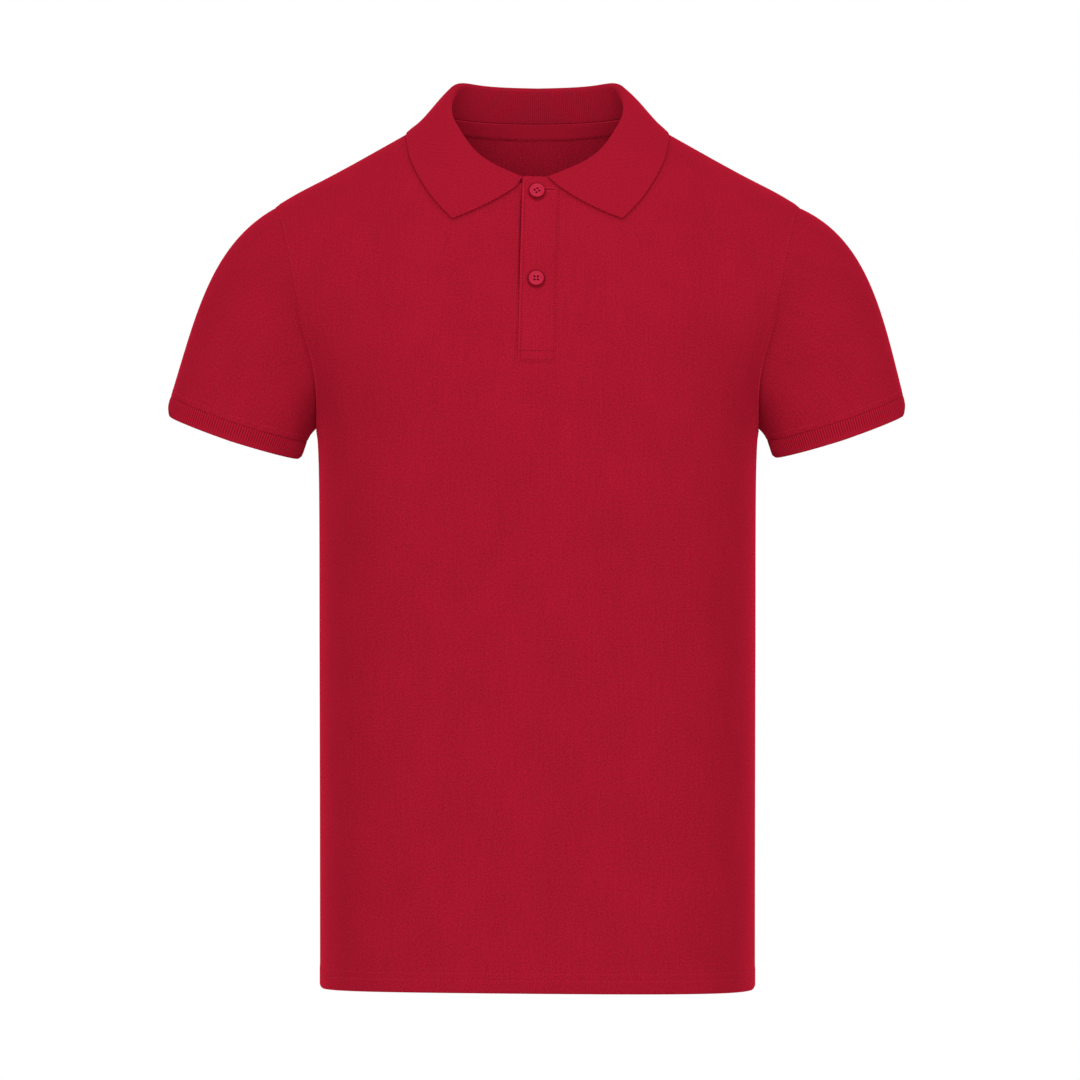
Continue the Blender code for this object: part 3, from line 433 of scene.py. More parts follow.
def half_panel(back, inner_x):
    """Angles and runs of a half panel's grid; rows run up, columns run outward."""
    outer_angles, outer_runs, below = outer_edge()
    last = len(outer_runs) - 1
    drop = BACK_NECK_DROP if back else FRONT_NECK_DROP
    top_height = -drop * math.sqrt(1 - (inner_x(0.0) / NECK_HALF_WIDTH) ** 2)
    first_turn = math.asin(min(1.0, abs(inner_x(top_height)) / NECK_HALF_WIDTH))
    top_height = -drop * math.cos(first_turn)
    inner_heights = section_at(outer_runs)[:, 0].copy()
    foot_row = below + ROWS_TO_PLACKET
    if back:
        inner_heights[below:] = np.linspace(inner_heights[below], top_height, last - below + 1)
    else:
        foot = PLACKET_FOOT + PLACKET_EDGE
        to_foot = np.linspace(inner_heights[below], foot, ROWS_TO_PLACKET + 1)
        inner_heights[below : foot_row + 1] = to_foot
        inner_heights[foot_row:] = np.linspace(foot, top_height, last - foot_row + 1)
    inner_runs = run_at(inner_heights)
    inner_angles = angle_at(np.array([inner_x(height) for height in inner_heights]), inner_runs)
    across = crowded(NEAR_SEAM, 0.22, COLUMNS_HALF, () if back else NEAR_SLOT)
    crowd = 1 - (1 - across) ** (1.15 if back else 1.55)
    turns = first_turn + (math.pi / 2 - first_turn) * crowd
    neck_angles, neck_runs = neck_place(math.pi - turns if back else turns)
    if back:
        neck_angles = math.pi - neck_angles
    weight = ease((np.arange(last + 1) - below + 4) / (last - below + 4))[:, None]
    even = outer_angles.copy()
    for _ in range(EVENING_ROUNDS):
        even[1:-1] = (even[:-2] + 2 * even[1:-1] + even[2:]) / 4
    angles = inner_angles[:, None] * (1 - across) + even[:, None] * across
    angles = angles + (outer_angles - even)[:, None] * across**5
    runs = inner_runs[:, None] * (1 - across) + outer_runs[:, None] * across
    angles = angles + weight * (neck_angles - angles[-1])
    runs = runs + weight * (neck_runs - runs[-1])
    return angles, runs, foot_row


def corner_rise(from_end, radius):
    """How far a rounded corner lifts an edge, at a distance from where the edge ends."""
    from_end = np.minimum(np.hypot(from_end, CORNER_SOFT), radius)
    return radius - np.sqrt(radius**2 - (radius - from_end) ** 2)


def hem_rise(angles, runs):
    """How far the hem lies above the form's foot, with a rounded corner at each side."""
    level = hem_level_at(np.degrees(angles))[..., 0]
    corner = corner_rise(SECTIONS[0][1] * (1 - np.abs(np.sin(angles))), HEM_CORNER)
    return level * ease(1 - runs / HEM_LEVEL_FADE) + corner * ease(1 - runs / HEM_CORNER_FADE)


def lean(height):
    """How far the placket has leant to the right at a height."""
    return PLACKET_LEAN * np.maximum(0.0, height - PLACKET_FOOT)


def placket_share(x, height):
    """Where a point lies across the placket, from 0 at its left to 1."""
    return (x - PLACKET_LEFT - lean(height)) / (PLACKET_RIGHT - PLACKET_LEFT)


def placket_rise(x, height):
    """How far the over band's face stands above the front's."""
    return (PLACKET_WALL + SEAM_GAP) * (1 - np.clip(placket_share(x, height), 0, 1))


def gape(height):
    """How open the band's free edge stands, from 0 to 1."""
    return ease((height + 0.160) / 0.04) * ease((-0.058 - height) / 0.02)


def sewn_down(x, height):
    """How much lower the band lies where its foot is boxed, and how it gapes above."""
    share = np.clip(placket_share(x, height), 0, 1)
    foot = 0.0019 * (1 - ease((height - PLACKET_FOOT) / 0.024)) * (1 - share)
    return foot - 0.0010 * gape(height) * (1 - share) ** 3


def front_point(x, height, rise):
    run = run_at(height)
    angle = angle_at(x, run)
    return form_point(angle, run) + form_normal(angle, run) * np.asarray(rise)[..., None]


def band_point(x, height):
    """A point on the over band's face."""
    return front_point(x, height, placket_rise(x, height))


def band_outward(x, height):
    run = run_at(height)
    return form_normal(angle_at(x, run), run)


def creased(points, outward):
    """How far the soft creases move the cloth out at each point."""
    x, z = points[..., 0], points[..., 2]
    total = np.zeros(x.shape)
    for side, x0, z0, x1, z1, bow, width, height in CREASES:
        along_x, along_z = x1 - x0, z1 - z0
        length = math.hypot(along_x, along_z)
        t = ((x - x0) * along_x + (z - z0) * along_z) / length**2
        s = ((x - x0) * along_z - (z - z0) * along_x) / length - bow * 4 * t * (1 - t)
        shape = np.exp(-((s / width) ** 2)) * ease(t / 0.4) * ease((1 - t) / 0.4)
        total += height * shape * ease((outward[..., 1] * side - 0.05) / 0.4)
    return total


def distance_to(points, line):
    """Distance from each point to a seam line, which is sampled finely."""
    steps = lengths_along(line)
    fine = np.linspace(0, steps[-1], int(steps[-1] / 0.0004) + 2)
    line = np.stack([np.interp(fine, steps, line[:, k]) for k in range(3)], axis=1)
    tree = KDTree(len(line))
    for i, p in enumerate(line):
        tree.insert(p, i)
    tree.balance()
    flat = points.reshape(-1, 3)
    return np.array([tree.find(p)[2] for p in flat]).reshape(points.shape[:-1])


def dip(distance, depth=0.0008, width=0.0011):
    return -depth * np.exp(-((distance / width) ** 2))


def stitched(from_row, depth):
    """The groove that a row of stitches draws, at a distance from the row."""
    return dip(np.abs(from_row), depth, STITCH_GROOVE)


def welt(distance, start, end, height):
    """A low step over the seam allowance."""
    return height * ease((distance - start) / 0.0012) * ease((end - distance) / 0.0016)


def grid_normals(grid, tube):
    up = np.gradient(grid, axis=0)
    if tube:
        ring = grid[:, :-1]
        round_it = np.roll(ring, -1, axis=1) - np.roll(ring, 1, axis=1)
        round_it = np.concatenate([round_it, round_it[:, :1]], axis=1)
    else:
        round_it = np.gradient(grid, axis=1)
    return unit(np.cross(round_it, up))


def lay_flat(grid, rounds=120):
    """Each point's place on the flat cloth, in metres."""
    across = np.linalg.norm(np.diff(grid, axis=1), axis=-1)
    up = np.linalg.norm(np.diff(grid, axis=0), axis=-1)
    u = np.pad(np.cumsum(across, axis=1), ((0, 0), (1, 0)))
    u = u - u[:, u.shape[1] // 2, None]
    v = np.pad(np.cumsum(up, axis=0), ((1, 0), (0, 0)))
    flat = np.stack([u, v], axis=-1)
    cuts = (
        (np.s_[:, :-1], np.s_[:, 1:]),
        (np.s_[:-1, :], np.s_[1:, :]),
        (np.s_[:-1, :-1], np.s_[1:, 1:]),
        (np.s_[1:, :-1], np.s_[:-1, 1:]),
    )
    wanted = [np.linalg.norm(grid[b] - grid[a], axis=-1) for a, b in cuts]
    for _ in range(rounds):
        for (a, b), want in zip(cuts, wanted):
            gap = flat[b] - flat[a]
            size = np.maximum(np.linalg.norm(gap, axis=-1), 1e-9)
            move = (0.22 * (size - want) / size)[..., None] * gap
            flat[a] += move
            flat[b] -= move
    return flat


def new_object(name, work, *materials):
    mesh = bpy.data.meshes.new(name)
    work.to_mesh(mesh)
    work.free()
    return placed(name, mesh, *materials)


def placed(name, mesh, *materials):
    """A mesh as an object of the scene."""
    mesh.shade_smooth()
    piece = bpy.data.objects.new(name, mesh)
    bpy.context.scene.collection.objects.link(piece)
    for material in materials:
        mesh.materials.append(material)
    return piece


def round_edges(piece, width, segments, least_angle):
    edge = piece.modifiers.new("edge", "BEVEL")
    edge.width = width
    edge.segments = segments
    edge.profile = 0.5
    edge.limit_method = "ANGLE"
    edge.angle_limit = math.radians(least_angle)


def cloth(
    name, grid, outward, wall, material, keep=None, tube=False, walls=None, round_edge=0.0,
    inside=None, laid_flat=None,
):
    """A sheet of cloth through a grid of points, its wall on the inner side."""
    rows, columns = grid.shape[:2]
    flat = lay_flat(grid) if laid_flat is None else laid_flat
    work = bmesh.new()
    laid = work.loops.layers.uv.new("cloth")
    bmesh.ops.create_grid(work, x_segments=columns - 1, y_segments=rows - 1, size=0.5)
    deform = work.verts.layers.deform.verify()
    cells = []
    for vertex in work.verts:
        column = round((vertex.co.x + 0.5) * (columns - 1))
        row = round((vertex.co.y + 0.5) * (rows - 1))
        cells.append((row, column))
    for vertex, (row, column) in zip(work.verts, cells):
        vertex.co = grid[row, column]
        if walls is not None:
            vertex[deform][0] = float(walls[row, column])
    work.verts.index_update()
    for face in work.faces:
        for loop in face.loops:
            loop[laid].uv = flat[cells[loop.vert.index]]
    if keep is not None:
        cut = []
        for face in work.faces:
            row = min(cells[v.index][0] for v in face.verts)
            column = min(cells[v.index][1] for v in face.verts)
            if not keep[row, column]:
                cut.append(face)
        bmesh.ops.delete(work, geom=cut, context="FACES")
    middle = outward[rows // 2, columns // 3]
    near = Vector(grid[rows // 2, columns // 3])
    if tube:
        bmesh.ops.remove_doubles(work, verts=work.verts, dist=1e-6)
    bmesh.ops.recalc_face_normals(work, faces=work.faces)
    nearest = min(work.faces, key=lambda face: (face.calc_center_median() - near).length)
    if nearest.normal.dot(Vector(middle)) < 0:
        bmesh.ops.reverse_faces(work, faces=work.faces)
    piece = new_object(name, work, material)
    shell = piece.modifiers.new("wall", "SOLIDIFY")
    if inside is not None:
        piece.data.materials.append(inside)
        shell.material_offset = 1
    shell.thickness = wall
    shell.offset = -1.0
    shell.use_even_offset = True
    shell.use_quality_normals = True
    if walls is not None:
        piece.vertex_groups.new(name="wall")
        shell.vertex_group = "wall"
    if round_edge:
        round_edges(piece, round_edge, 3, 50)
    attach(piece, "root")
    return piece


def face_tree(grid):
    """The sheet's face as a tree that finds the nearest place on it."""
    rows, columns = grid.shape[:2]
    index = np.arange(rows * columns).reshape(rows, columns)
    quads = np.stack([index[:-1, :-1], index[:-1, 1:], index[1:, 1:], index[1:, :-1]], axis=-1)
    return BVHTree.FromPolygons(grid.reshape(-1, 3).tolist(), quads.reshape(-1, 4).tolist())


def seams_of(back):
    """The seam lines round a panel, each on its left and its right."""
    arm = armhole_runs(2 * SEAM_SAMPLES)
    turns = np.linspace(0, math.pi / 2, SEAM_SAMPLES)
    places = {
        "side": (math.pi / 2, np.linspace(0, UNDERARM, SEAM_SAMPLES)),
        "shoulder": (math.pi / 2, np.linspace(SHOULDER_TIP, SECTION_KNOTS[-1], SEAM_SAMPLES)),
        "arm": (arm_line(arm, back), arm),
        "neck": neck_place(math.pi - turns if back else turns),
    }
    return {
        name: [form_point(sign * angles, runs) for sign in (LEFT, RIGHT)]
        for name, (angles, runs) in places.items()
    }


def panel_relief(points, outward, back, slot=()):
    """Everything that lifts or lowers a panel's face: creases, seams, stitch rows."""
    side, shoulder, arm, neck = [
        np.minimum(*[distance_to(points, line) for line in pair])
        for pair in seams_of(back).values()
    ]
    relief = creased(points, outward) * ease((neck - 0.004) / 0.03)
    relief = relief * ease(arm / 0.012) * ease(shoulder / 0.02)
    relief += dip(side, 0.0004, 0.0009) + dip(shoulder, 0.0003) + dip(arm, 0.0003, 0.0007)
    relief += welt(arm, 0.0006, 0.0072, 0.0003) + stitched(arm - ARM_STITCH, 0.00012)
    for line in slot:
        relief += dip(distance_to(points, line), 0.00022, 0.0005)
    return relief, armpit_tuck(points, arm, 0.0042)


def armpit_tuck(points, from_seam, reach):
    """The cloth beside the lower armhole seam turned in toward the armpit."""
    strength = ease((-0.125 - points[..., 2]) / 0.06) * ease(np.abs(points[..., 1]) / 0.022)
    shift = ARMPIT_DEPTH * strength * (1 - ease(from_seam / reach))
    return (-np.sign(points[..., 1]) * shift)[..., None] * np.array([0.0, 1.0, 0.0])


def hem_relief(rise):
    """The turned hem: its rounded foot and the two sewn rows."""
    relief = -0.0011 * ease(1 - rise / 0.0015) ** 2
    relief += 0.00025 * ease(rise / 0.002) * ease((0.0195 - rise) / 0.0025)
    return relief + sum(stitched(rise - row, 0.00014) for row in HEM_ROWS)


def hem_walls(rise):
    """Share of the full hem thickness at a distance up from the hem."""
    body = BODY_WALL / HEM_WALL
    share = body + (1 - body) * ease((HEM_HEIGHT + 0.001 - rise) / 0.0012)
    return np.where(rise < 0.0015, 0.45 + 0.55 * ease(rise / 0.0015), share)


def build_panel(name, angles, runs, back, material, inside, slot=(), keep=None):
    """A body panel with its creases, seams and turned hem, and the grid of its face."""
    lifted = runs + hem_rise(angles, runs)
    points, outward = form_point(angles, lifted), form_normal(angles, lifted)
    relief, tuck = panel_relief(points, outward, back, slot)
    grid = points + outward * (relief + hem_relief(runs))[..., None] + tuck
    panel = cloth(
        name, grid, outward, HEM_WALL, material, keep, walls=hem_walls(runs), inside=inside
    )
    return panel, grid


def build_front(material, inside):
    slot_left = PLACKET_LEFT - UNDER_SHOWS - SLOT_CLEAR
    slot_right = PLACKET_RIGHT - PLACKET_EDGE
    left_angles, left_runs, foot_row = half_panel(False, lambda z: abs(slot_left + lean(z)))
    right_angles, right_runs, _ = half_panel(False, lambda z: slot_right + lean(z))
    share = np.linspace(0, 1, COLUMNS_IN_SLOT + 1)[1:-1]
    left_in, right_in = -left_angles[:, :1], right_angles[:, :1]
    middle_angles = left_in + (right_in - left_in) * share
    middle_runs = left_runs[:, :1] + (right_runs[:, :1] - left_runs[:, :1]) * share
    angles = np.concatenate([-left_angles[:, ::-1], middle_angles, right_angles], axis=1)
    runs = np.concatenate([left_runs[:, ::-1], middle_runs, right_runs], axis=1)
    heights = np.linspace(PLACKET_FOOT, -0.055, SEAM_SAMPLES)
    beside_slot = front_point(slot_left + lean(heights) - UNDER_STITCH, heights, 0.0)
    keep = np.ones((runs.shape[0] - 1, runs.shape[1] - 1), bool)
    keep[foot_row:, COLUMNS_HALF : COLUMNS_HALF + COLUMNS_IN_SLOT] = False
    return build_panel(
        "front_panel", angles, runs, False, material, inside, [beside_slot], keep
    )


def from_centre_back(angles):
    """Angles counted from the centre back, as the form counts them."""
    return np.where(angles < 0, -math.pi - angles, math.pi - angles)


def build_back(material, inside):
    angles, runs, _ = half_panel(True, lambda z: 0.0)
    angles = from_centre_back(np.concatenate([-angles[:, ::-1], angles[:, 1:]], axis=1))
    runs = np.concatenate([runs[:, ::-1], runs[:, 1:]], axis=1)
    return build_panel("back_panel", angles, runs, True, material, inside)


def sleeve_curves(side, arm_rows):
    """A sleeve's curves from the armhole to the cuff's edge, mirrored to +X."""
    runs = armhole_runs(arm_rows)[::-1]
    angles = arm_line(runs)
    angles[0] = math.pi / 2
    angles[-1] = math.pi / 2
    angles = np.concatenate([angles, math.pi - angles[1:-1][::-1]])
    runs = np.concatenate([runs, runs[1:-1][::-1]])
    turns = np.linspace(0.0, 2 * math.pi, len(runs), endpoint=False)
    start = form_point(angles, runs)
    normal = form_normal(angles, runs)
    along = unit(np.roll(start, -1, axis=0) - np.roll(start, 1, axis=0))
    away = unit(np.cross(normal, along))
    away *= np.where(np.sum(away[:1] * (1, 0, 0)) < 0, -1, 1)
    outer_end = CUFF_OUTER_RIGHT if side == RIGHT else CUFF_OUTER_LEFT
    inner_end = CUFF_INNER_RIGHT if side == RIGHT else CUFF_INNER_LEFT
    outer = np.array([abs(outer_end[0]), CUFF_FORWARD, outer_end[1]])
    inner = np.array([abs(inner_end[0]), CUFF_FORWARD, inner_end[1]])
    centre, reach = (outer + inner) / 2, (outer - inner) / 2
    down = unit(np.array([reach[2], 0.0, -reach[0]]))
    forward = np.array([0.0, -math.cos(CUFF_TILT), 0.0]) + down * math.sin(CUFF_TILT)
    end = (
        centre
        + np.cos(turns)[:, None] * reach
        + np.sin(turns)[:, None] * CUFF_HALF_DEPTH * forward
        + CUFF_SAG * (1 - np.abs(np.cos(turns)))[:, None] * down
    )
    lead = sleeve_lead_at(180 - np.abs(180 - np.degrees(turns)))
    start_pull, follow, end_pull = lead[:, :1], np.clip(lead[:, 1:2], 0, 1), lead[:, 2:3]
    lift = lead[:, 4:5] if side == RIGHT else lead[:, 3:4]
    low = ease((np.abs(180 - np.degrees(turns)) - 10) / 50)[:, None]
    start = start - away * SEAM_TUCK * low - normal * 0.0002
    pull = follow * away + (1 - follow) * unit(end - start + down * 0.01)
    pull = unit(pull + lift * np.array([0.0, 0.0, 1.0]))
    fall = SLEEVE_FALL_RIGHT if side == RIGHT else SLEEVE_FALL_LEFT
    lead_in = pull * start_pull
    lead_out = np.array([math.sin(fall), 0.0, -math.cos(fall)]) * end_pull
    shares = np.linspace(0, 1, 201)

    def value(share):
        s2, s3 = share**2, share**3
        return (
            (2 * s3 - 3 * s2 + 1) * start
            + (s3 - 2 * s2 + share) * lead_in
            + (3 * s2 - 2 * s3) * end
            + (s3 - s2) * lead_out
        )

    fine = value(shares[:, None, None])
    lengths = np.pad(
        np.cumsum(np.linalg.norm(np.diff(fine, axis=0), axis=-1), axis=0), ((1, 0), (0, 0))
    )

    def at_lengths(wanted):
        share = np.stack(
            [np.interp(wanted[:, c], lengths[:, c], shares) for c in range(len(turns))], axis=1
        )
        grid = value(share[..., None])
        return np.concatenate([grid, grid[:, :1]], axis=1)

    return at_lengths, lengths[-1]


def round_cuff(rib, steps):
    """The cuff's edge drawn in and lifted a little at its two folds, as soft cloth is."""
    columns = rib.shape[1] - 1
    outer, inner = rib[-1, 0], rib[-1, columns // 2]
    reach = unit(outer - inner)
    up = unit(np.array([-reach[2], 0.0, reach[0]]))
    for fold, toward, (radius, drawn) in zip((outer, inner), (reach, -reach), CUFF_FOLDS):
        from_fold = (fold - rib[-1]) @ toward
        corner = corner_rise(np.maximum(from_fold, 0), radius)
        near = ease(1 - from_fold / (2.5 * radius))
        rib = rib + (up * corner[:, None]) * (steps**2)[..., None]
        rib = rib - (toward * drawn * near[:, None]) * (steps**3)[..., None]
    return rib


def build_sleeve(side, suffix, cloth_material, inside, rib_material):
    """A sleeve, the line of its stitches, the grid of its face, and its cuff."""
    mirror = np.array([side, 1, 1])
    at_lengths, total = sleeve_curves(side, ROWS_AT_ARM)
    end = total - CUFF_HEIGHT + CUFF_LAP
    shares = crowded(NEAR_SEAM, 0.15, 58, NEAR_ARM)
    grid = at_lengths(shares[:, None] * end)
    outward = grid_normals(grid, True)
    sign = 1 if np.sum(outward * (grid - grid.mean(axis=1, keepdims=True))) > 0 else -1
    outward = outward * sign
    grid, outward = grid * mirror, outward * mirror
    end = np.append(end, end[0])
    from_seam = shares[:, None] * end
    to_cuff = end - from_seam
    relief = creased(grid, outward) * ease(from_seam / 0.015) * ease(to_cuff / 0.02)
    relief += dip(from_seam, 0.0002, 0.0009) + dip(to_cuff, 0.0008, 0.0007)
    relief += stitched(to_cuff - CUFF_STITCH, 0.00014)
    grid = grid + outward * relief[..., None] + armpit_tuck(grid, from_seam, 0.040)
    sleeve = cloth(
        f"sleeve_{suffix}_cloth", grid, outward, BODY_WALL, cloth_material, tube=True,
        inside=inside,
    )
    stitch_rows = np.argmin(np.abs(to_cuff - CUFF_STITCH), axis=0)
    line = grid[stitch_rows, np.arange(grid.shape[1])]
    at_lengths, total = sleeve_curves(side, CUFF_RIBS * 2)
    steps = np.array([0.0, 0.08, 0.2, 0.4, 0.6, 0.8, 0.92, 1.0])[:, None]
    rib = round_cuff(at_lengths(total - CUFF_HEIGHT * (1 - steps)), steps)
    rib_out = grid_normals(rib, True) * sign
    rib, rib_out = rib * mirror, rib_out * mirror
    wave = np.cos(np.arange(rib.shape[1]) * math.pi / 2) * CUFF_RIB_HEIGHT
    soft = ease(steps / 0.15) * (0.30 + 0.70 * ease((1 - steps) / 0.4))
    rib = rib - rib_out * (CUFF_STEP - wave * soft)[..., None]
    laid = np.broadcast_arrays(
        np.arange(rib.shape[1]) * CUFF_RIB_PITCH / 4, steps * CUFF_HEIGHT
    )
    cuff = cloth(
        f"cuff_{suffix}_rib", rib, rib_out, CUFF_WALL, rib_material, tube=True,
        laid_flat=np.stack(laid, axis=-1),
    )
    return sleeve, line, grid, cuff


def form_gap(points):
    def level(p):
        section = section_at(run_at(np.minimum(p[..., 2], 0.0)))
        over = np.maximum(p[..., 2], 0.0)
        half_width = np.maximum(section[..., 1] - 1.8 * over, 0.01)
        front = np.maximum(section[..., 2] - 0.85 * over, 0.004)
        back = np.maximum(section[..., 3] - 1.0 * over, 0.004)
        depth = np.where(p[..., 1] > 0, back, front)
        return np.hypot(p[..., 0] / half_width, p[..., 1] / depth) - 1

    here = level(points)
    small = 1e-4
    slope = np.stack(
        [
            (level(points + small * axis) - level(points - small * axis)) / (2 * small)
            for axis in np.eye(3)
        ],
        axis=-1,
    )
    size = np.linalg.norm(slope, axis=-1)
    return here / size, slope / size[..., None]


def push_clear(points, need):
    """Points moved out softly until they stand clear of the body form."""
    soft = 0.0008
    for _ in range(4):
        gap, out = form_gap(points)
        lack = np.clip((need - gap) / soft, -30, 30)
        points = points + out * (soft * np.log1p(np.exp(lack)) * 0.7)[..., None]
        gap, out = form_gap(points)
        points = points + out * np.maximum(need - gap, 0.0)[..., None]
        soft *= 0.5
    return points


def slerp(a, b, share):
    dot = np.clip(np.sum(a * b, axis=-1, keepdims=True), -0.9999, 0.9999)
    whole = np.arccos(dot)
    return (np.sin((1 - share) * whole) * a + np.sin(share * whole) * b) / np.sin(whole)


def collar_half(side):
    """Face points of half the collar, from its front end to the centre back."""
    turns = np.concatenate([np.linspace(COLLAR[0][0], 90, 61)[:-1], np.linspace(90, 180, 52)])
    turns = np.radians(turns)
    table = collar_at(np.degrees(turns))
    end_x = COLLAR_END_RIGHT if side == RIGHT else -COLLAR_END_LEFT
    shift = (end_x - COLLAR[0][1]) * (1 - ease((turns - turns[0]) / math.radians(45)))
    roll = np.stack([table[:, 0] + shift, table[:, 1], table[:, 2]], axis=-1)
    radius = table[:, 3:4]
    edge_angle = np.radians(table[:, 4])
    edge_run = run_at(table[:, 5])
    edge_out = form_normal(edge_angle, edge_run)
    at_side = ease((turns - 0.95) / 0.4) * ease((2.1 - turns) / 0.4)
    pressed = COLLAR_PRESSED * at_side
    lift = COLLAR_CLEAR + COLLAR_WALL * (1 - pressed)
    edge = form_point(edge_angle, edge_run) + edge_out * lift[:, None]
    neck_turns = np.arcsin(np.clip(np.sin(turns) + shift / NECK_HALF_WIDTH * (turns < 1.2), 0, 1))
    neck_turns = np.where(turns > math.pi / 2, math.pi - neck_turns, neck_turns)
    neck_angle, neck_run = neck_place(neck_turns)
    neck = form_point(neck_angle, neck_run)
    out = form_normal(neck_angle, neck_run)
    into = unit(np.cross(out, unit(np.gradient(neck, axis=0))))
    into = np.where((into @ np.array([0.0, 0.0, 1.0]))[:, None] < 0, -into, into)
    foot = neck + into * COLLAR_CLEAR - out * COLLAR_WALL
    along = unit(np.gradient(roll, axis=0))
    along[-1] = (-1, 0, 0)
    level_out = unit(out * (1, 1, 0))
    stand_face = unit(np.cross(along, unit(roll - foot)))
    inward = np.sum(stand_face * level_out, axis=-1, keepdims=True) > 0
    stand_face = np.where(inward, -stand_face, stand_face)
    foot = foot + into * COLLAR_WALL * np.maximum(
        0.0, np.sum(stand_face * into, axis=-1, keepdims=True)
    )
    top = unit(np.cross(stand_face, along))
    top = np.where(top[:, 2:3] < 0, -top, top)
    hub = roll - top * radius
    leaf_dir = unit(edge - hub)
    leaf_face = unit(np.cross(along, leaf_dir))
    inward = np.sum(leaf_face * level_out, axis=-1, keepdims=True) < 0
    leaf_face = np.where(inward, -leaf_face, leaf_face)
    stand, first_quarter, second_quarter, leaf_rows = COLLAR_ROWS
    stand_top = hub + stand_face * radius
    rows = [foot + (stand_top - foot) * s for s in np.linspace(0, 1, stand + 1)[:-1]]
    for a, b, count in ((stand_face, top, first_quarter), (top, leaf_face, second_quarter)):
        rows += [hub + slerp(a, b, s) * radius for s in np.linspace(0, 1, count + 1)[:-1]]
    leaf_top = hub + leaf_face * radius
    length = np.linalg.norm(edge - leaf_top, axis=-1, keepdims=True)
    flat = leaf_dir - edge_out * np.sum(leaf_dir * edge_out, axis=-1, keepdims=True)
    arrive = unit(0.5 * leaf_dir + 0.5 * unit(flat))
    first_leaf_row = len(rows)
    a, b = leaf_top + leaf_dir * length / 3, edge - arrive * length / 3
    for s in np.linspace(0, 1, leaf_rows + 1):
        near_roll, near_edge = 3 * (1 - s) ** 2 * s * a, 3 * (1 - s) * s**2 * b
        rows.append((1 - s) ** 3 * leaf_top + near_roll + near_edge + s**3 * edge)
    face = np.array(rows)
    leaf = face[first_leaf_row:]
    s = np.linspace(0, 1, leaf_rows + 1)[:, None]
    near_end = 1 - ease((turns - turns[0]) / math.radians(32))
    chord = unit((leaf[-1, 0] - leaf[0, 0]) * (1, 0, 1))
    even, near_roll = COLLAR_BOWS[side]
    bow = (even * 4 * s * (1 - s) + near_roll * (1 - s) * ease(s / 0.16)) * near_end
    leaf = leaf + bow[..., None] * np.array([chord[2], 0.0, -chord[0]])
    leaf = leaf + leaf_face * (LEAF_BULGE[side] * 4 * s * (1 - s) * at_side)[..., None]
    x, z = leaf[..., 0] * side, leaf[..., 2]
    on_band = (z > PLACKET_FOOT) & (leaf[..., 1] < 0)
    beside = np.maximum(PLACKET_LEFT + lean(z) - x, x - PLACKET_RIGHT - lean(z))
    near = ease(1 - np.maximum(beside, 0) / 0.003)
    walls = np.ones(face.shape[:2])
    walls[first_leaf_row:] -= pressed * (1 - ease(length[:, 0] * (1 - s) / 0.005))
    need = COLLAR_CLEAR + COLLAR_WALL * walls[first_leaf_row:]
    need = need + placket_rise(x, z) * near * on_band
    face[first_leaf_row:] = push_clear(leaf, need)
    return face, walls


def build_collar(material, inside):
    right, right_walls = collar_half(RIGHT)
    left, left_walls = collar_half(LEFT)
    face = np.concatenate([left * (-1, 1, 1), right[:, ::-1][:, 1:]], axis=1)
    walls = np.concatenate([left_walls, right_walls[:, ::-1][:, 1:]], axis=1)
    out = grid_normals(face, False)
    middle = face.shape[1] // 2
    if np.dot(out[-1, middle], face[-1, middle] * (1, 1, 0)) < 0:
        out = -out
    return cloth(
        "collar_knit", face, out, COLLAR_WALL, material, walls=walls, round_edge=0.0004,
        inside=inside,
    )


def band_rows():
    """Heights of a band's grid lines, close together at the box and the buttonholes."""
    rows = PLACKET_FOOT + np.array(NEAR_BOX)
    for (height, _, _), top_row in zip(BUTTONHOLES[::-1], (-0.1300, -0.0615)):
        near_hole = height + np.array(NEAR_HOLE)
        dense = near_hole[0] - 0.0090
        between = np.linspace(rows[-1], dense, int((dense - rows[-1]) / 0.0014) + 2)[1:]
        below = np.linspace(dense, near_hole[0], 19)[1:-1]
        count = int((top_row - near_hole[-1]) / 0.0005) + 2
        above = np.linspace(near_hole[-1], top_row, count)[1:]
        rows = np.concatenate([rows, between, below, near_hole, above])
    return rows


def band_grid(left, right, top, columns, rows):
    """X and height over a placket band between two leaning lines, up to a top line."""
    x_foot = left + (right - left) * np.asarray(columns)
    tops = np.array([top(x) for x in x_foot + lean(PLACKET_TOP)])
    upper = np.linspace(0, 1, 9)[1:, None]
    level = np.broadcast_to(rows[:, None], (len(rows), len(tops)))
    height = np.concatenate([level, rows[-1] + upper * (tops - rows[-1])])
    return x_foot + lean(height), height


def over_band_relief(x, height, from_left, sewn_edge):
    """Stitch grooves, sewn edges and the hollows under the buttons."""
    relief = stitched(from_left - EDGE_STITCH, 0.00022)
    relief = relief + stitched(sewn_edge - SEWN_STITCH, 0.00012)
    relief = relief + stitched(height - PLACKET_FOOT - BOX_TOP_STITCH, 0.00024)
    relief = relief - 0.00035 * (1 - ease(sewn_edge / 0.0010))
    for button_x, button_height, _ in BUTTONS:
        far = np.hypot(x - button_x, height - button_height)
        relief = relief - 0.0018 * (1 - ease((far - BUTTON_RADIUS + 0.0002) / 0.0019))
    return relief


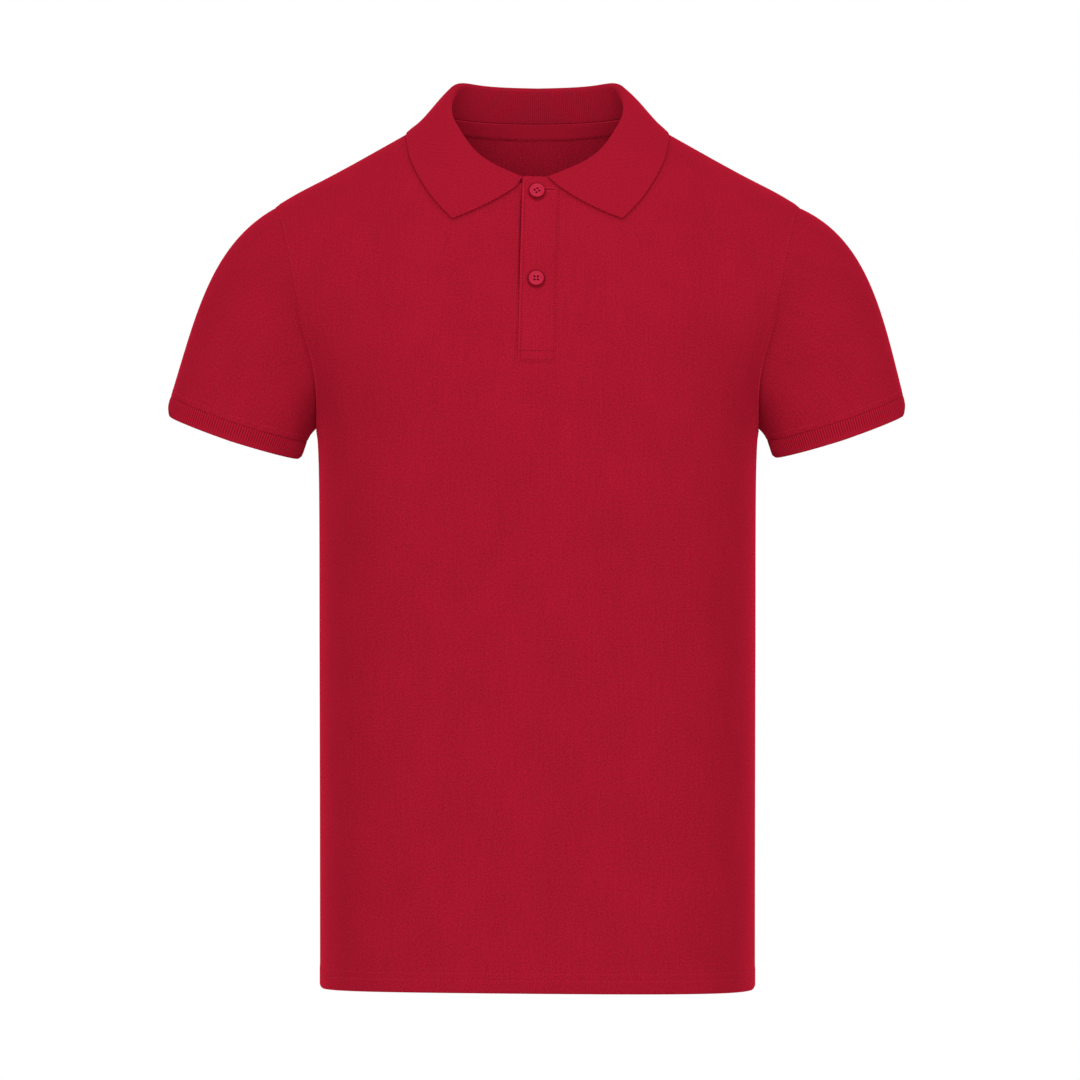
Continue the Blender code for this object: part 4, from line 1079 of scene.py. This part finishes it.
def build_plackets(material, under_material):
    """The over band with its buttonholes, the grid of its face, and the under band."""
    step_at = COLLAR_END_RIGHT - 0.0002

    def over_top(x):
        fall = min(1.0, max(0.0, (x - step_at - 0.0006) / 0.0030))
        into = max(0.0, 1 - (x - PLACKET_LEFT - lean(PLACKET_TOP)) / PLACKET_CORNER)
        rounding = PLACKET_CORNER * (1 - math.sqrt(max(0.0, 1 - into**2))) * 0.8
        return PLACKET_TOP + (PLACKET_TOP_UNDER_ROLL - PLACKET_TOP) * fall - rounding

    near = np.array(NEAR_BAND_EDGE)
    width = PLACKET_RIGHT - PLACKET_LEFT
    step = step_at - lean(PLACKET_TOP) - PLACKET_LEFT
    columns = np.concatenate([
        near,
        np.linspace(near[-1], step - 0.0006, 32)[1:],
        step + np.array([-0.0004, -0.0002, 0.0, 0.0006]),
        np.linspace(step + 0.0006, width - near[-1], 11)[1:-1],
        width - near[::-1],
    ]) / width
    rows = band_rows()
    x, height = band_grid(PLACKET_LEFT, PLACKET_RIGHT, over_top, columns, rows)
    from_left = np.broadcast_to(columns * width, x.shape)
    sewn_edge = np.minimum(width - from_left, height - PLACKET_FOOT)
    relief = over_band_relief(x, height, from_left, sewn_edge)
    rise = placket_rise(x, height) - sewn_down(x, height)
    over_grid = front_point(x, height, rise + relief)
    keep = np.ones((x.shape[0] - 1, x.shape[1] - 1), bool)
    middle_x = (x[:-1, :-1] + x[1:, 1:]) / 2
    middle_height = (height[:-1, :-1] + height[1:, 1:]) / 2
    for hole, start, end in BUTTONHOLES:
        keep &= (np.abs(middle_height - hole) > 0.0002) | (middle_x < start) | (middle_x > end)
    over = cloth(
        "placket_over_band", over_grid, band_outward(x, height), PLACKET_WALL, material, keep,
        round_edge=0.0004,
    )
    x, height = band_grid(
        PLACKET_LEFT - UNDER_SHOWS, PLACKET_RIGHT, lambda x: PLACKET_TOP_UNDER_COLLAR, columns, rows
    )
    from_edge = placket_share(x, height) * width
    lower = np.maximum(sewn_down(x, height), 0) * ease(from_edge / 0.001)
    lower = lower + 0.0016 * gape(height) * ease((from_edge + 0.0017) / 0.0009)
    rise = placket_rise(x, height) - PLACKET_WALL - SEAM_GAP - lower
    under = cloth(
        "placket_under_band", front_point(x, height, rise), band_outward(x, height),
        PLACKET_WALL, under_material,
    )
    return over, over_grid, under


def build_tape(material):
    turns = np.radians(np.linspace(92.5, 267.5, 101))
    half = np.where(turns > math.pi, 2 * math.pi - turns, turns)
    angle, run = neck_place(half)
    neck = form_point(angle, run)
    sign = np.where(turns > math.pi, -1, 1)
    mirror = np.stack([sign, sign**2, sign**2], -1)
    roll = collar_at(np.degrees(half))[:, :3] * mirror
    seam, seam_out = neck * mirror, form_normal(angle, run) * mirror
    up_the_stand = unit(roll - seam + seam_out * COLLAR_WALL)
    points, normals = [], []
    for down in TAPE_ROWS:
        drop = down - TAPE_LAP
        if drop < 0:
            points.append(seam - up_the_stand * drop)
            normals.append(seam_out)
            continue
        spread = 1 + 0.10 * down / TAPE_WIDTH * (half < math.radians(178))
        height = neck[:, 2] - drop * (0.55 + 0.45 * np.abs(np.cos(half)))
        lower_run = run_at(np.minimum(height, 0.0))
        x = np.abs(neck[:, 0]) * spread
        lower_angle = angle_at(x, lower_run, back=True)
        lower_angle = np.where(x == 0, math.pi, lower_angle)
        limit = math.pi / 2 + 0.0014 / np.abs(form_point(math.pi, lower_run)[:, 1])
        lower_angle = np.maximum(lower_angle, limit)
        over_foot = np.stack([0 * x, 0 * x, np.maximum(height, 0.0)], axis=-1)
        points.append(form_point(lower_angle, lower_run) * mirror + over_foot)
        normals.append(form_normal(lower_angle, lower_run) * mirror)
    outward = np.array(normals)
    down = np.array(TAPE_ROWS)[:, None]
    from_edge = np.minimum(down, TAPE_WIDTH - down)
    share = 0.30 + 0.70 * ease(from_edge / 0.0011)
    share = share + dip(from_edge - TAPE_STITCH, 0.35, 0.0005)
    lap = 1 - ease(down / (2 * TAPE_LAP))
    inset = BODY_WALL + TAPE_CLEAR + TAPE_WALL * share + (COLLAR_WALL - BODY_WALL) * lap
    grid = np.array(points) - outward * inset[..., None]
    walls = np.broadcast_to(share, grid.shape[:2])
    return cloth("neck_tape_weave", grid, -outward, TAPE_WALL, material, walls=walls), grid


def resampled(line, pitch):
    """Points along a line at an even pitch, and the line's direction at each."""
    line = np.asarray(line, float)
    steps = lengths_along(line)
    count = max(2, int(round(steps[-1] / pitch)))
    wanted = (np.arange(count) + 0.5) * steps[-1] / count

    def at(length):
        return np.stack([np.interp(length, steps, line[:, k]) for k in range(3)], axis=1)

    return at(wanted), unit(at(wanted + 0.0004) - at(wanted - 0.0004))


def sew(
    name, tree, lines, material, length=STITCH, pitch=STITCH_PITCH, thread=THREAD, out=1,
    upright=False,
):
    """Stitches along lines, or across them, laid on the nearest place of a sheet's face."""
    one = bmesh.new()
    bmesh.ops.create_uvsphere(one, u_segments=6, v_segments=4, radius=1)
    stitch = bpy.data.meshes.new("stitch")
    one.to_mesh(stitch)
    one.free()
    work = bmesh.new()
    for line in lines:
        for point, direction in zip(*resampled(line, pitch)):
            place, normal, _, _ = tree.find_nearest(point)
            away = Vector(point) - Vector((0, 0, point[2]))
            normal = normal * (1 if normal.dot(away) * out > 0 else -1)
            run = Vector(direction)
            run = (run - normal * run.dot(normal)).normalized()
            across = normal.cross(run)
            if upright:
                run, across = across, run
            shape = Matrix((across * thread / 2, normal * thread * THREAD_FLAT, run * length / 2))
            matrix = shape.transposed().to_4x4()
            matrix.translation = place + normal * thread * THREAD_PROUD
            laid = stitch.copy()
            laid.transform(matrix)
            work.from_mesh(laid)
            bpy.data.meshes.remove(laid)
    bpy.data.meshes.remove(stitch)
    bmesh.ops.recalc_face_normals(work, faces=work.faces)
    piece = new_object(name, work, material)
    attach(piece, "root")
    return piece


def button_place(x, height, turn):
    """Where a button's underside lies on the band, and how it is turned."""
    x, height = np.float64(x), np.float64(height)
    half_slope = (PLACKET_WALL + SEAM_GAP) / (PLACKET_RIGHT - PLACKET_LEFT) * BUTTON_RADIUS
    rise = float(placket_rise(x, height))
    out = Vector(band_outward(x, height))
    side = Vector((0, 0, 1)).cross(out).normalized()
    up = out.cross(side).normalized()
    matrix = Matrix((side, up, out)).transposed().to_4x4()
    matrix.translation = Vector(front_point(x, height, rise + BUTTON_CLEAR + half_slope))
    return matrix @ Matrix.Rotation(math.radians(turn), 4, "Z")


def build_button(number, matrix, material):
    """A turned button with a raised rim and four drilled holes."""
    work = bmesh.new()
    ring = [
        work.verts.new((out * BUTTON_RADIUS, 0, up * BUTTON_THICK)) for out, up in BUTTON_PROFILE
    ]
    edges = [work.edges.new(pair) for pair in zip(ring, ring[1:])]
    bmesh.ops.spin(
        work, geom=ring + edges, cent=(0, 0, 0), axis=(0, 0, 1), angle=2 * math.pi,
        steps=48, use_merge=True, use_duplicate=False,
    )
    bmesh.ops.remove_doubles(work, verts=work.verts, dist=1e-6)
    bmesh.ops.recalc_face_normals(work, faces=work.faces)
    blank = new_object(f"button_{number}_blank", work, material)
    work = bmesh.new()
    for quarter in range(4):
        a = math.radians(45 + 90 * quarter)
        across, up = math.cos(a) * BUTTON_HOLE_SPREAD, math.sin(a) * BUTTON_HOLE_SPREAD
        bmesh.ops.create_cone(
            work, cap_ends=True, segments=16, radius1=BUTTON_HOLE_RADIUS,
            radius2=BUTTON_HOLE_RADIUS, depth=BUTTON_THICK * 2,
            matrix=Matrix.Translation((across, up, BUTTON_THICK / 2)),
        )
    drill = new_object(f"button_{number}_drill", work)
    cut = blank.modifiers.new("holes", "BOOLEAN")
    cut.operation = "DIFFERENCE"
    cut.solver = "EXACT"
    cut.object = drill
    graph = bpy.context.evaluated_depsgraph_get()
    graph.update()
    mesh = bpy.data.meshes.new_from_object(blank.evaluated_get(graph))
    mesh.transform(matrix)
    mesh.materials.clear()
    bpy.data.objects.remove(drill)
    bpy.data.objects.remove(blank)
    piece = placed(f"button_{number}_turned", mesh, material)
    round_edges(piece, 0.00012, 2, 40)
    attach(piece, "root")
    return piece


def build_button_thread(matrices, material):
    """Thread through the holes and wound under each button."""
    work = bmesh.new()
    reach = BUTTON_HOLE_SPREAD * math.sqrt(0.5)
    lying = Matrix.Rotation(math.pi / 2, 4, "Y") @ Matrix.Diagonal((*BUTTON_THREAD, 1))
    for matrix in matrices:
        for y in (-reach, reach):
            for shift in (-0.00016, 0.00016):
                bar = Matrix.Translation((0, y + shift, 0.0))
                bmesh.ops.create_uvsphere(
                    work, u_segments=8, v_segments=6, radius=1, matrix=matrix @ bar @ lying
                )
        bmesh.ops.create_cone(
            work, cap_ends=True, segments=16, radius1=SHANK_RADIUS, radius2=SHANK_RADIUS,
            depth=SHANK_LENGTH, matrix=matrix @ Matrix.Translation((0, 0, -BUTTON_CLEAR)),
        )
    bmesh.ops.recalc_face_normals(work, faces=work.faces)
    piece = new_object("button_thread", work, material)
    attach(piece, "root")
    return piece


class Signal:
    """A socket that takes part in arithmetic."""

    def __init__(self, tree, socket):
        self.tree = tree
        self.socket = socket

    def maths(self, operation, *values):
        return add_node(
            self.tree, "ShaderNodeMath", {"operation": operation}, dict(enumerate(values))
        )

    def __add__(self, other):
        return self.maths("ADD", self, other)

    def __sub__(self, other):
        return self.maths("SUBTRACT", self, other)

    def __rsub__(self, other):
        return self.maths("SUBTRACT", other, self)

    def __mul__(self, other):
        return self.maths("MULTIPLY", self, other)

    __radd__ = __add__
    __rmul__ = __mul__

    def wave(self, pitch):
        """From 0 to 1 and back over each pitch."""
        return self.maths("COSINE", self * (2 * math.pi / pitch)) * 0.5 + 0.5

    def held(self, least, most):
        return self.maths("MAXIMUM", self.maths("MINIMUM", self, most), least)


def add_node(tree, kind, settings=None, sockets=None, output=0):
    """One node: its type, its settings, and the values or links of its sockets."""
    node = tree.nodes.new(kind)
    for name, value in (settings or {}).items():
        setattr(node, name, value)
    for name, value in (sockets or {}).items():
        if isinstance(value, Signal):
            tree.links.new(value.socket, node.inputs[name])
        else:
            node.inputs[name].default_value = value
    return Signal(tree, node.outputs[output])


def new_material(name, roughness, sheen=0.0, specular=0.2):
    material = bpy.data.materials.new(name)
    material.use_nodes = True
    tree = material.node_tree
    shader = tree.nodes["Principled BSDF"]
    shader.inputs["Roughness"].default_value = roughness
    shader.inputs["Specular IOR Level"].default_value = specular
    shader.inputs["Sheen Weight"].default_value = sheen
    shader.inputs["Sheen Roughness"].default_value = 0.4
    shader.inputs["Sheen Tint"].default_value = (1.0, 0.024, 0.07, 1.0)
    return material, tree, shader


def finish_material(tree, shader, colour, height, distance):
    tree.links.new(colour.socket, shader.inputs["Base Color"])
    bump = add_node(
        tree, "ShaderNodeBump", None, {"Strength": 1.0, "Distance": distance, "Height": height}
    )
    tree.links.new(bump.socket, shader.inputs["Normal"])


def flat_place(tree):
    """Across and along the flat cloth, in metres."""
    laid = add_node(tree, "ShaderNodeUVMap", {"uv_map": "cloth"})
    split = add_node(tree, "ShaderNodeSeparateXYZ", None, {"Vector": laid})
    return split, Signal(tree, split.socket.node.outputs[1])


def noise(tree, u, v, scale_u, scale_v, detail=2.0):
    spot = add_node(tree, "ShaderNodeCombineXYZ", None, {"X": u * scale_u, "Y": v * scale_v})
    return add_node(
        tree,
        "ShaderNodeTexNoise",
        {"noise_dimensions": "2D"},
        {"Vector": spot, "Scale": 1.0, "Detail": detail},
    )


def tinted(colour, share):
    return tuple(share * c for c in colour)


def shaded(tree, colour, dark, light, share):
    """From a darker to a lighter tint of a colour, by a share from 0 to 1."""
    return add_node(
        tree,
        "ShaderNodeMix",
        {"data_type": "RGBA"},
        {0: share, 6: (*tinted(colour, dark), 1.0), 7: (*tinted(colour, light), 1.0)},
        output=2,
    )


def pique(name, colour, fold=None):
    """Cotton pique: staggered dimples between raised cords, with a painted highlight along a folded
    edge.
    """
    material, tree, shader = new_material(name, 0.9, sheen=0.36, specular=0.0)
    u, v = flat_place(tree)
    across, up = [
        place.maths("COSINE", place * (2 * math.pi / pitch))
        for place, pitch in zip((u, v), PIQUE_PITCH)
    ]
    cell = (across * up) * 0.5 + 0.5
    wales = noise(tree, u, v, 560, 30)
    grain = noise(tree, u, v, 800, 720, 3.0) * 1.3 - 0.15
    cloud = noise(tree, u, v, 26, 18)
    share = cell * 0.12 + wales * 0.14 + grain * 0.62 + cloud * 0.12
    # painted highlight: a lighter strip along the band's folded free edge
    if fold:
        share = share + ((0 - u - fold) * 1500).held(0.0, 0.15)
    shade = shaded(tree, colour, 0.48, 1.50, share)
    finish_material(tree, shader, shade, cell * 0.5 + grain + wales * 0.3, 0.00016)
    return material


def ribbed(name, colour, pitch, distance, contrast, edge=None):
    """A rib knit whose ribs stand across its length and fade out at its knitted edge, which is also
    painted a little lighter as a painted highlight.
    """
    material, tree, shader = new_material(name, 0.9, sheen=0.36, specular=0.0)
    u, v = flat_place(tree)
    rib = u.wave(pitch)
    course = v.wave(COURSE_PITCH)
    grain = noise(tree, u, v, 800, 720, 3.0)
    # the ribs fade out at the knitted edge, and the edge is painted a little lighter: a painted
    # highlight
    if edge:
        plain_edge_and_highlight = ((v - edge) * 300).held(0.0, 1.0)
        rib = rib + plain_edge_and_highlight * (0.56 - rib) * 0.75
    share = rib * contrast + course * 0.1 + grain * (0.9 - contrast)
    shade = shaded(tree, colour, 0.48, 1.50, share)
    finish_material(tree, shader, shade, rib + course * 0.3, distance)
    return material


def woven(name, colour):
    """Herringbone tape, with painted shade darkening it toward its upper edge."""
    material, tree, shader = new_material(name, 0.8, sheen=0.2, specular=0.0)
    u, v = flat_place(tree)
    zigzag = v.maths("PINGPONG", v * 400, 1.0)
    twill = u.maths("SINE", u * 4000 + zigzag * 3.0) * 0.5 + 0.5
    grain = noise(tree, u, v, 760, 620, 3.0)
    # painted shade: the share falls to the darkest tint at the tape's upper edge
    from_edge = v.maths("MINIMUM", v * 640, 1.0)
    share = (twill * 0.16 + grain * 0.37 + 0.47) * from_edge
    finish_material(tree, shader, shaded(tree, colour, 0.30, 1.25, share), twill, 0.00006)
    return material


def even_finish(name, colour, finish):
    """A plain finish with a fine even grain: thread, plastic or paper."""
    roughness, sheen, specular, scale, detail, dark, light, relief = finish
    material, tree, shader = new_material(name, roughness, sheen, specular)
    place = add_node(tree, "ShaderNodeTexCoord", output=3)
    grain = add_node(
        tree, "ShaderNodeTexNoise", None, {"Vector": place, "Scale": scale, "Detail": detail}
    )
    finish_material(tree, shader, shaded(tree, colour, dark, light, grain), grain, relief)
    return material


def offset_line(line, normals, distance):
    """A line moved sideways over a surface, and still on the form's tangent."""
    along = unit(np.gradient(line, axis=0))
    return line + unit(np.cross(normals, along)) * distance


def build_body_stitches(back, tree, material):
    """Hem rows and armhole topstitches of one panel, as one piece."""
    edge = math.pi / 2 - 0.02
    angles = np.linspace(-edge, edge, 240)
    angles = from_centre_back(angles) if back else angles
    lines = []
    for row in HEM_ROWS:
        runs = np.full(240, row)
        lines.append(form_point(angles, runs + hem_rise(angles, runs)))
    runs = armhole_runs(120)[2:-2]
    for sign in (LEFT, RIGHT):
        arm_angles = sign * arm_line(runs, back)
        line, normals = form_point(arm_angles, runs), form_normal(arm_angles, runs)
        for turn in (-1, 1):
            moved = offset_line(line, normals, turn * ARM_STITCH)
            if np.abs(moved[60, 0]) < np.abs(line[60, 0]):
                lines.append(moved)
    if not back:
        heights = np.linspace(PLACKET_FOOT + 0.004, -0.068, 60)
        x = PLACKET_LEFT - UNDER_SHOWS - UNDER_STITCH + lean(heights)
        lines.append(front_point(x, heights, 0.0))
    return sew("stitches_back" if back else "stitches_front", tree, lines, material)


def build_band_stitches(tree, thread, thread_painted_dark):
    """The over band's stitches, and the purl stitches round its buttonholes."""
    heights = np.linspace(PLACKET_FOOT + 0.002, PLACKET_TOP - 0.003, 60)
    lines = [band_point(PLACKET_LEFT + EDGE_STITCH + lean(heights), heights)]
    heights = heights[:-3]
    x = PLACKET_RIGHT - SEWN_STITCH + lean(heights)
    lines.append(front_point(x, heights, 0.0 * heights))
    x = np.linspace(PLACKET_LEFT + 0.001, PLACKET_RIGHT - 0.001, 20)
    for up in (BOX_STITCH, BOX_TOP_STITCH):
        lines.append(band_point(x, np.full(20, PLACKET_FOOT + up)))
    sewn = sew(
        "stitches_placket", tree, lines, thread_painted_dark, length=0.0014, pitch=0.0024, thread=0.00055
    )
    lines = []
    for hole, start, end in BUTTONHOLES:
        for beside in (-0.0010, 0.0010):
            lines.append(band_point(np.linspace(start, end, 20), np.full(20, hole + beside)))
    purl = sew(
        "buttonhole_purl", tree, lines, thread, length=0.0013, pitch=0.00050, thread=0.00042,
        upright=True,
    )
    return sewn, purl


def main():
    for light in [o for o in bpy.data.objects if o.type == "LIGHT"]:
        bpy.data.objects.remove(light)
    body = pique("cotton pique", RED)
    # painted light: the inside faces are painted much lighter than the outside, standing in for
    # light that barely reaches inside the shirt
    inner = pique("cotton pique inside painted lighter", tinted(RED, 1.62))
    knit_inner = ribbed("collar knit wrong side", tinted(RED, 0.84), 0.0013, 0.00006, 0.07)
    band = pique("placket pique", tinted(RED, 1.03), 0.0145)
    knit = ribbed("flat collar knit", RED, 0.0016, 0.00010, 0.35)
    rib = ribbed("cuff rib knit", RED, CUFF_RIB_PITCH, 0.00012, 0.70, 0.0090)
    # painted light: the neck tape is painted much lighter than the cloth, standing in for light
    # that little reaches it
    tape_painted_lighter = woven("neck tape", tinted(RED, 1.80))
    # painted highlight: thread lighter than the cloth, for the light dots of raised stitches
    thread = even_finish("sewing thread painted lighter", THREAD_RED_PAINTED_LIGHTER, THREAD_FINISH)
    # painted shade: dark thread for the placket's and tape's stitches and the buttons' holes
    thread_painted_dark = even_finish("thread painted dark as shade", THREAD_RED_PAINTED_DARK, THREAD_FINISH)
    plastic = even_finish("button plastic", BUTTON_RED, BUTTON_FINISH)

    front, front_grid = build_front(body, inner)
    back, back_grid = build_back(body, inner)
    for side, suffix in ((RIGHT, "right"), (LEFT, "left")):
        sleeve, line, grid, cuff = build_sleeve(side, suffix, body, inner, rib)
        sewn = sew(
            f"stitches_sleeve_{suffix}", face_tree(grid), [line], thread, 0.0011, 0.0020, 0.0007
        )
        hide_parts(f"sleeve_{suffix}")
        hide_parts(f"cuff_{suffix}")
    collar = build_collar(knit, knit_inner)
    over, over_grid, under = build_plackets(band, body)
    tape, tape_grid = build_tape(tape_painted_lighter)
    front_sewn = build_body_stitches(False, face_tree(front_grid), thread)
    back_sewn = build_body_stitches(True, face_tree(back_grid), thread)
    over_sewn, purl = build_band_stitches(face_tree(over_grid), thread, thread_painted_dark)
    tape_sewn = sew(
        "stitches_neck_tape", face_tree(tape_grid), [tape_grid[3], tape_grid[12]], thread_painted_dark,
        length=0.0014, pitch=0.0026, thread=0.00055, out=-1,
    )
    for piece, node in (
        (front, "front"), (back, "back"), (collar, "collar"), (over, "placket_over"),
        (under, "placket_under"), (tape, "neck_tape"),
    ):
        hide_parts(node)
    matrices = [button_place(*place) for place in BUTTONS]
    buttons = [build_button(i, matrix, plastic) for i, matrix in enumerate(matrices, 1)]
    for number, button in enumerate(buttons, 1):
        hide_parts(f"button_{number}")
    # the thread in the buttons' holes is the dark thread of painted shade
    button_thread = build_button_thread(matrices, thread_painted_dark)

    build_studio()


def build_studio():
    """Pale floor, white surroundings, soft lights and the camera."""
    work = bmesh.new()
    bmesh.ops.create_circle(
        work, cap_ends=True, segments=96, radius=FLOOR_RADIUS,
        matrix=Matrix.Translation((0, 0, FLOOR_HEIGHT)),
    )
    floor = new_object("floor", work, even_finish("pale paper", PAPER_WHITE, PAPER_FINISH))
    world = bpy.data.worlds.new("studio")
    world.use_nodes = True
    surroundings = world.node_tree.nodes["Background"].inputs
    surroundings["Color"].default_value = (1, 1, 1, 1)
    surroundings["Strength"].default_value = 1.0
    scene = bpy.context.scene
    scene.world = world
    scene.view_settings.view_transform = "Standard"
    for name, place, size, power in LIGHTS:
        lamp = bpy.data.lights.new(name, "AREA")
        lamp.size = size
        lamp.energy = power
        light = bpy.data.objects.new(name, lamp)
        light.location = place
        aim = Vector(LIGHTS_AIM) - Vector(place)
        light.rotation_euler = aim.to_track_quat("-Z", "Y").to_euler()
        scene.collection.objects.link(light)
    lens = bpy.data.cameras.new("camera")
    lens.sensor_width = CAMERA_SENSOR
    lens.lens = CAMERA_SENSOR * -CAMERA[1] / VIEW_WIDTH
    lens.clip_end = 50.0
    camera = bpy.data.objects.new("camera", lens)
    camera.location = CAMERA
    camera.rotation_euler = (math.pi / 2, 0.0, 0.0)
    scene.collection.objects.link(camera)
    scene.camera = camera


main()
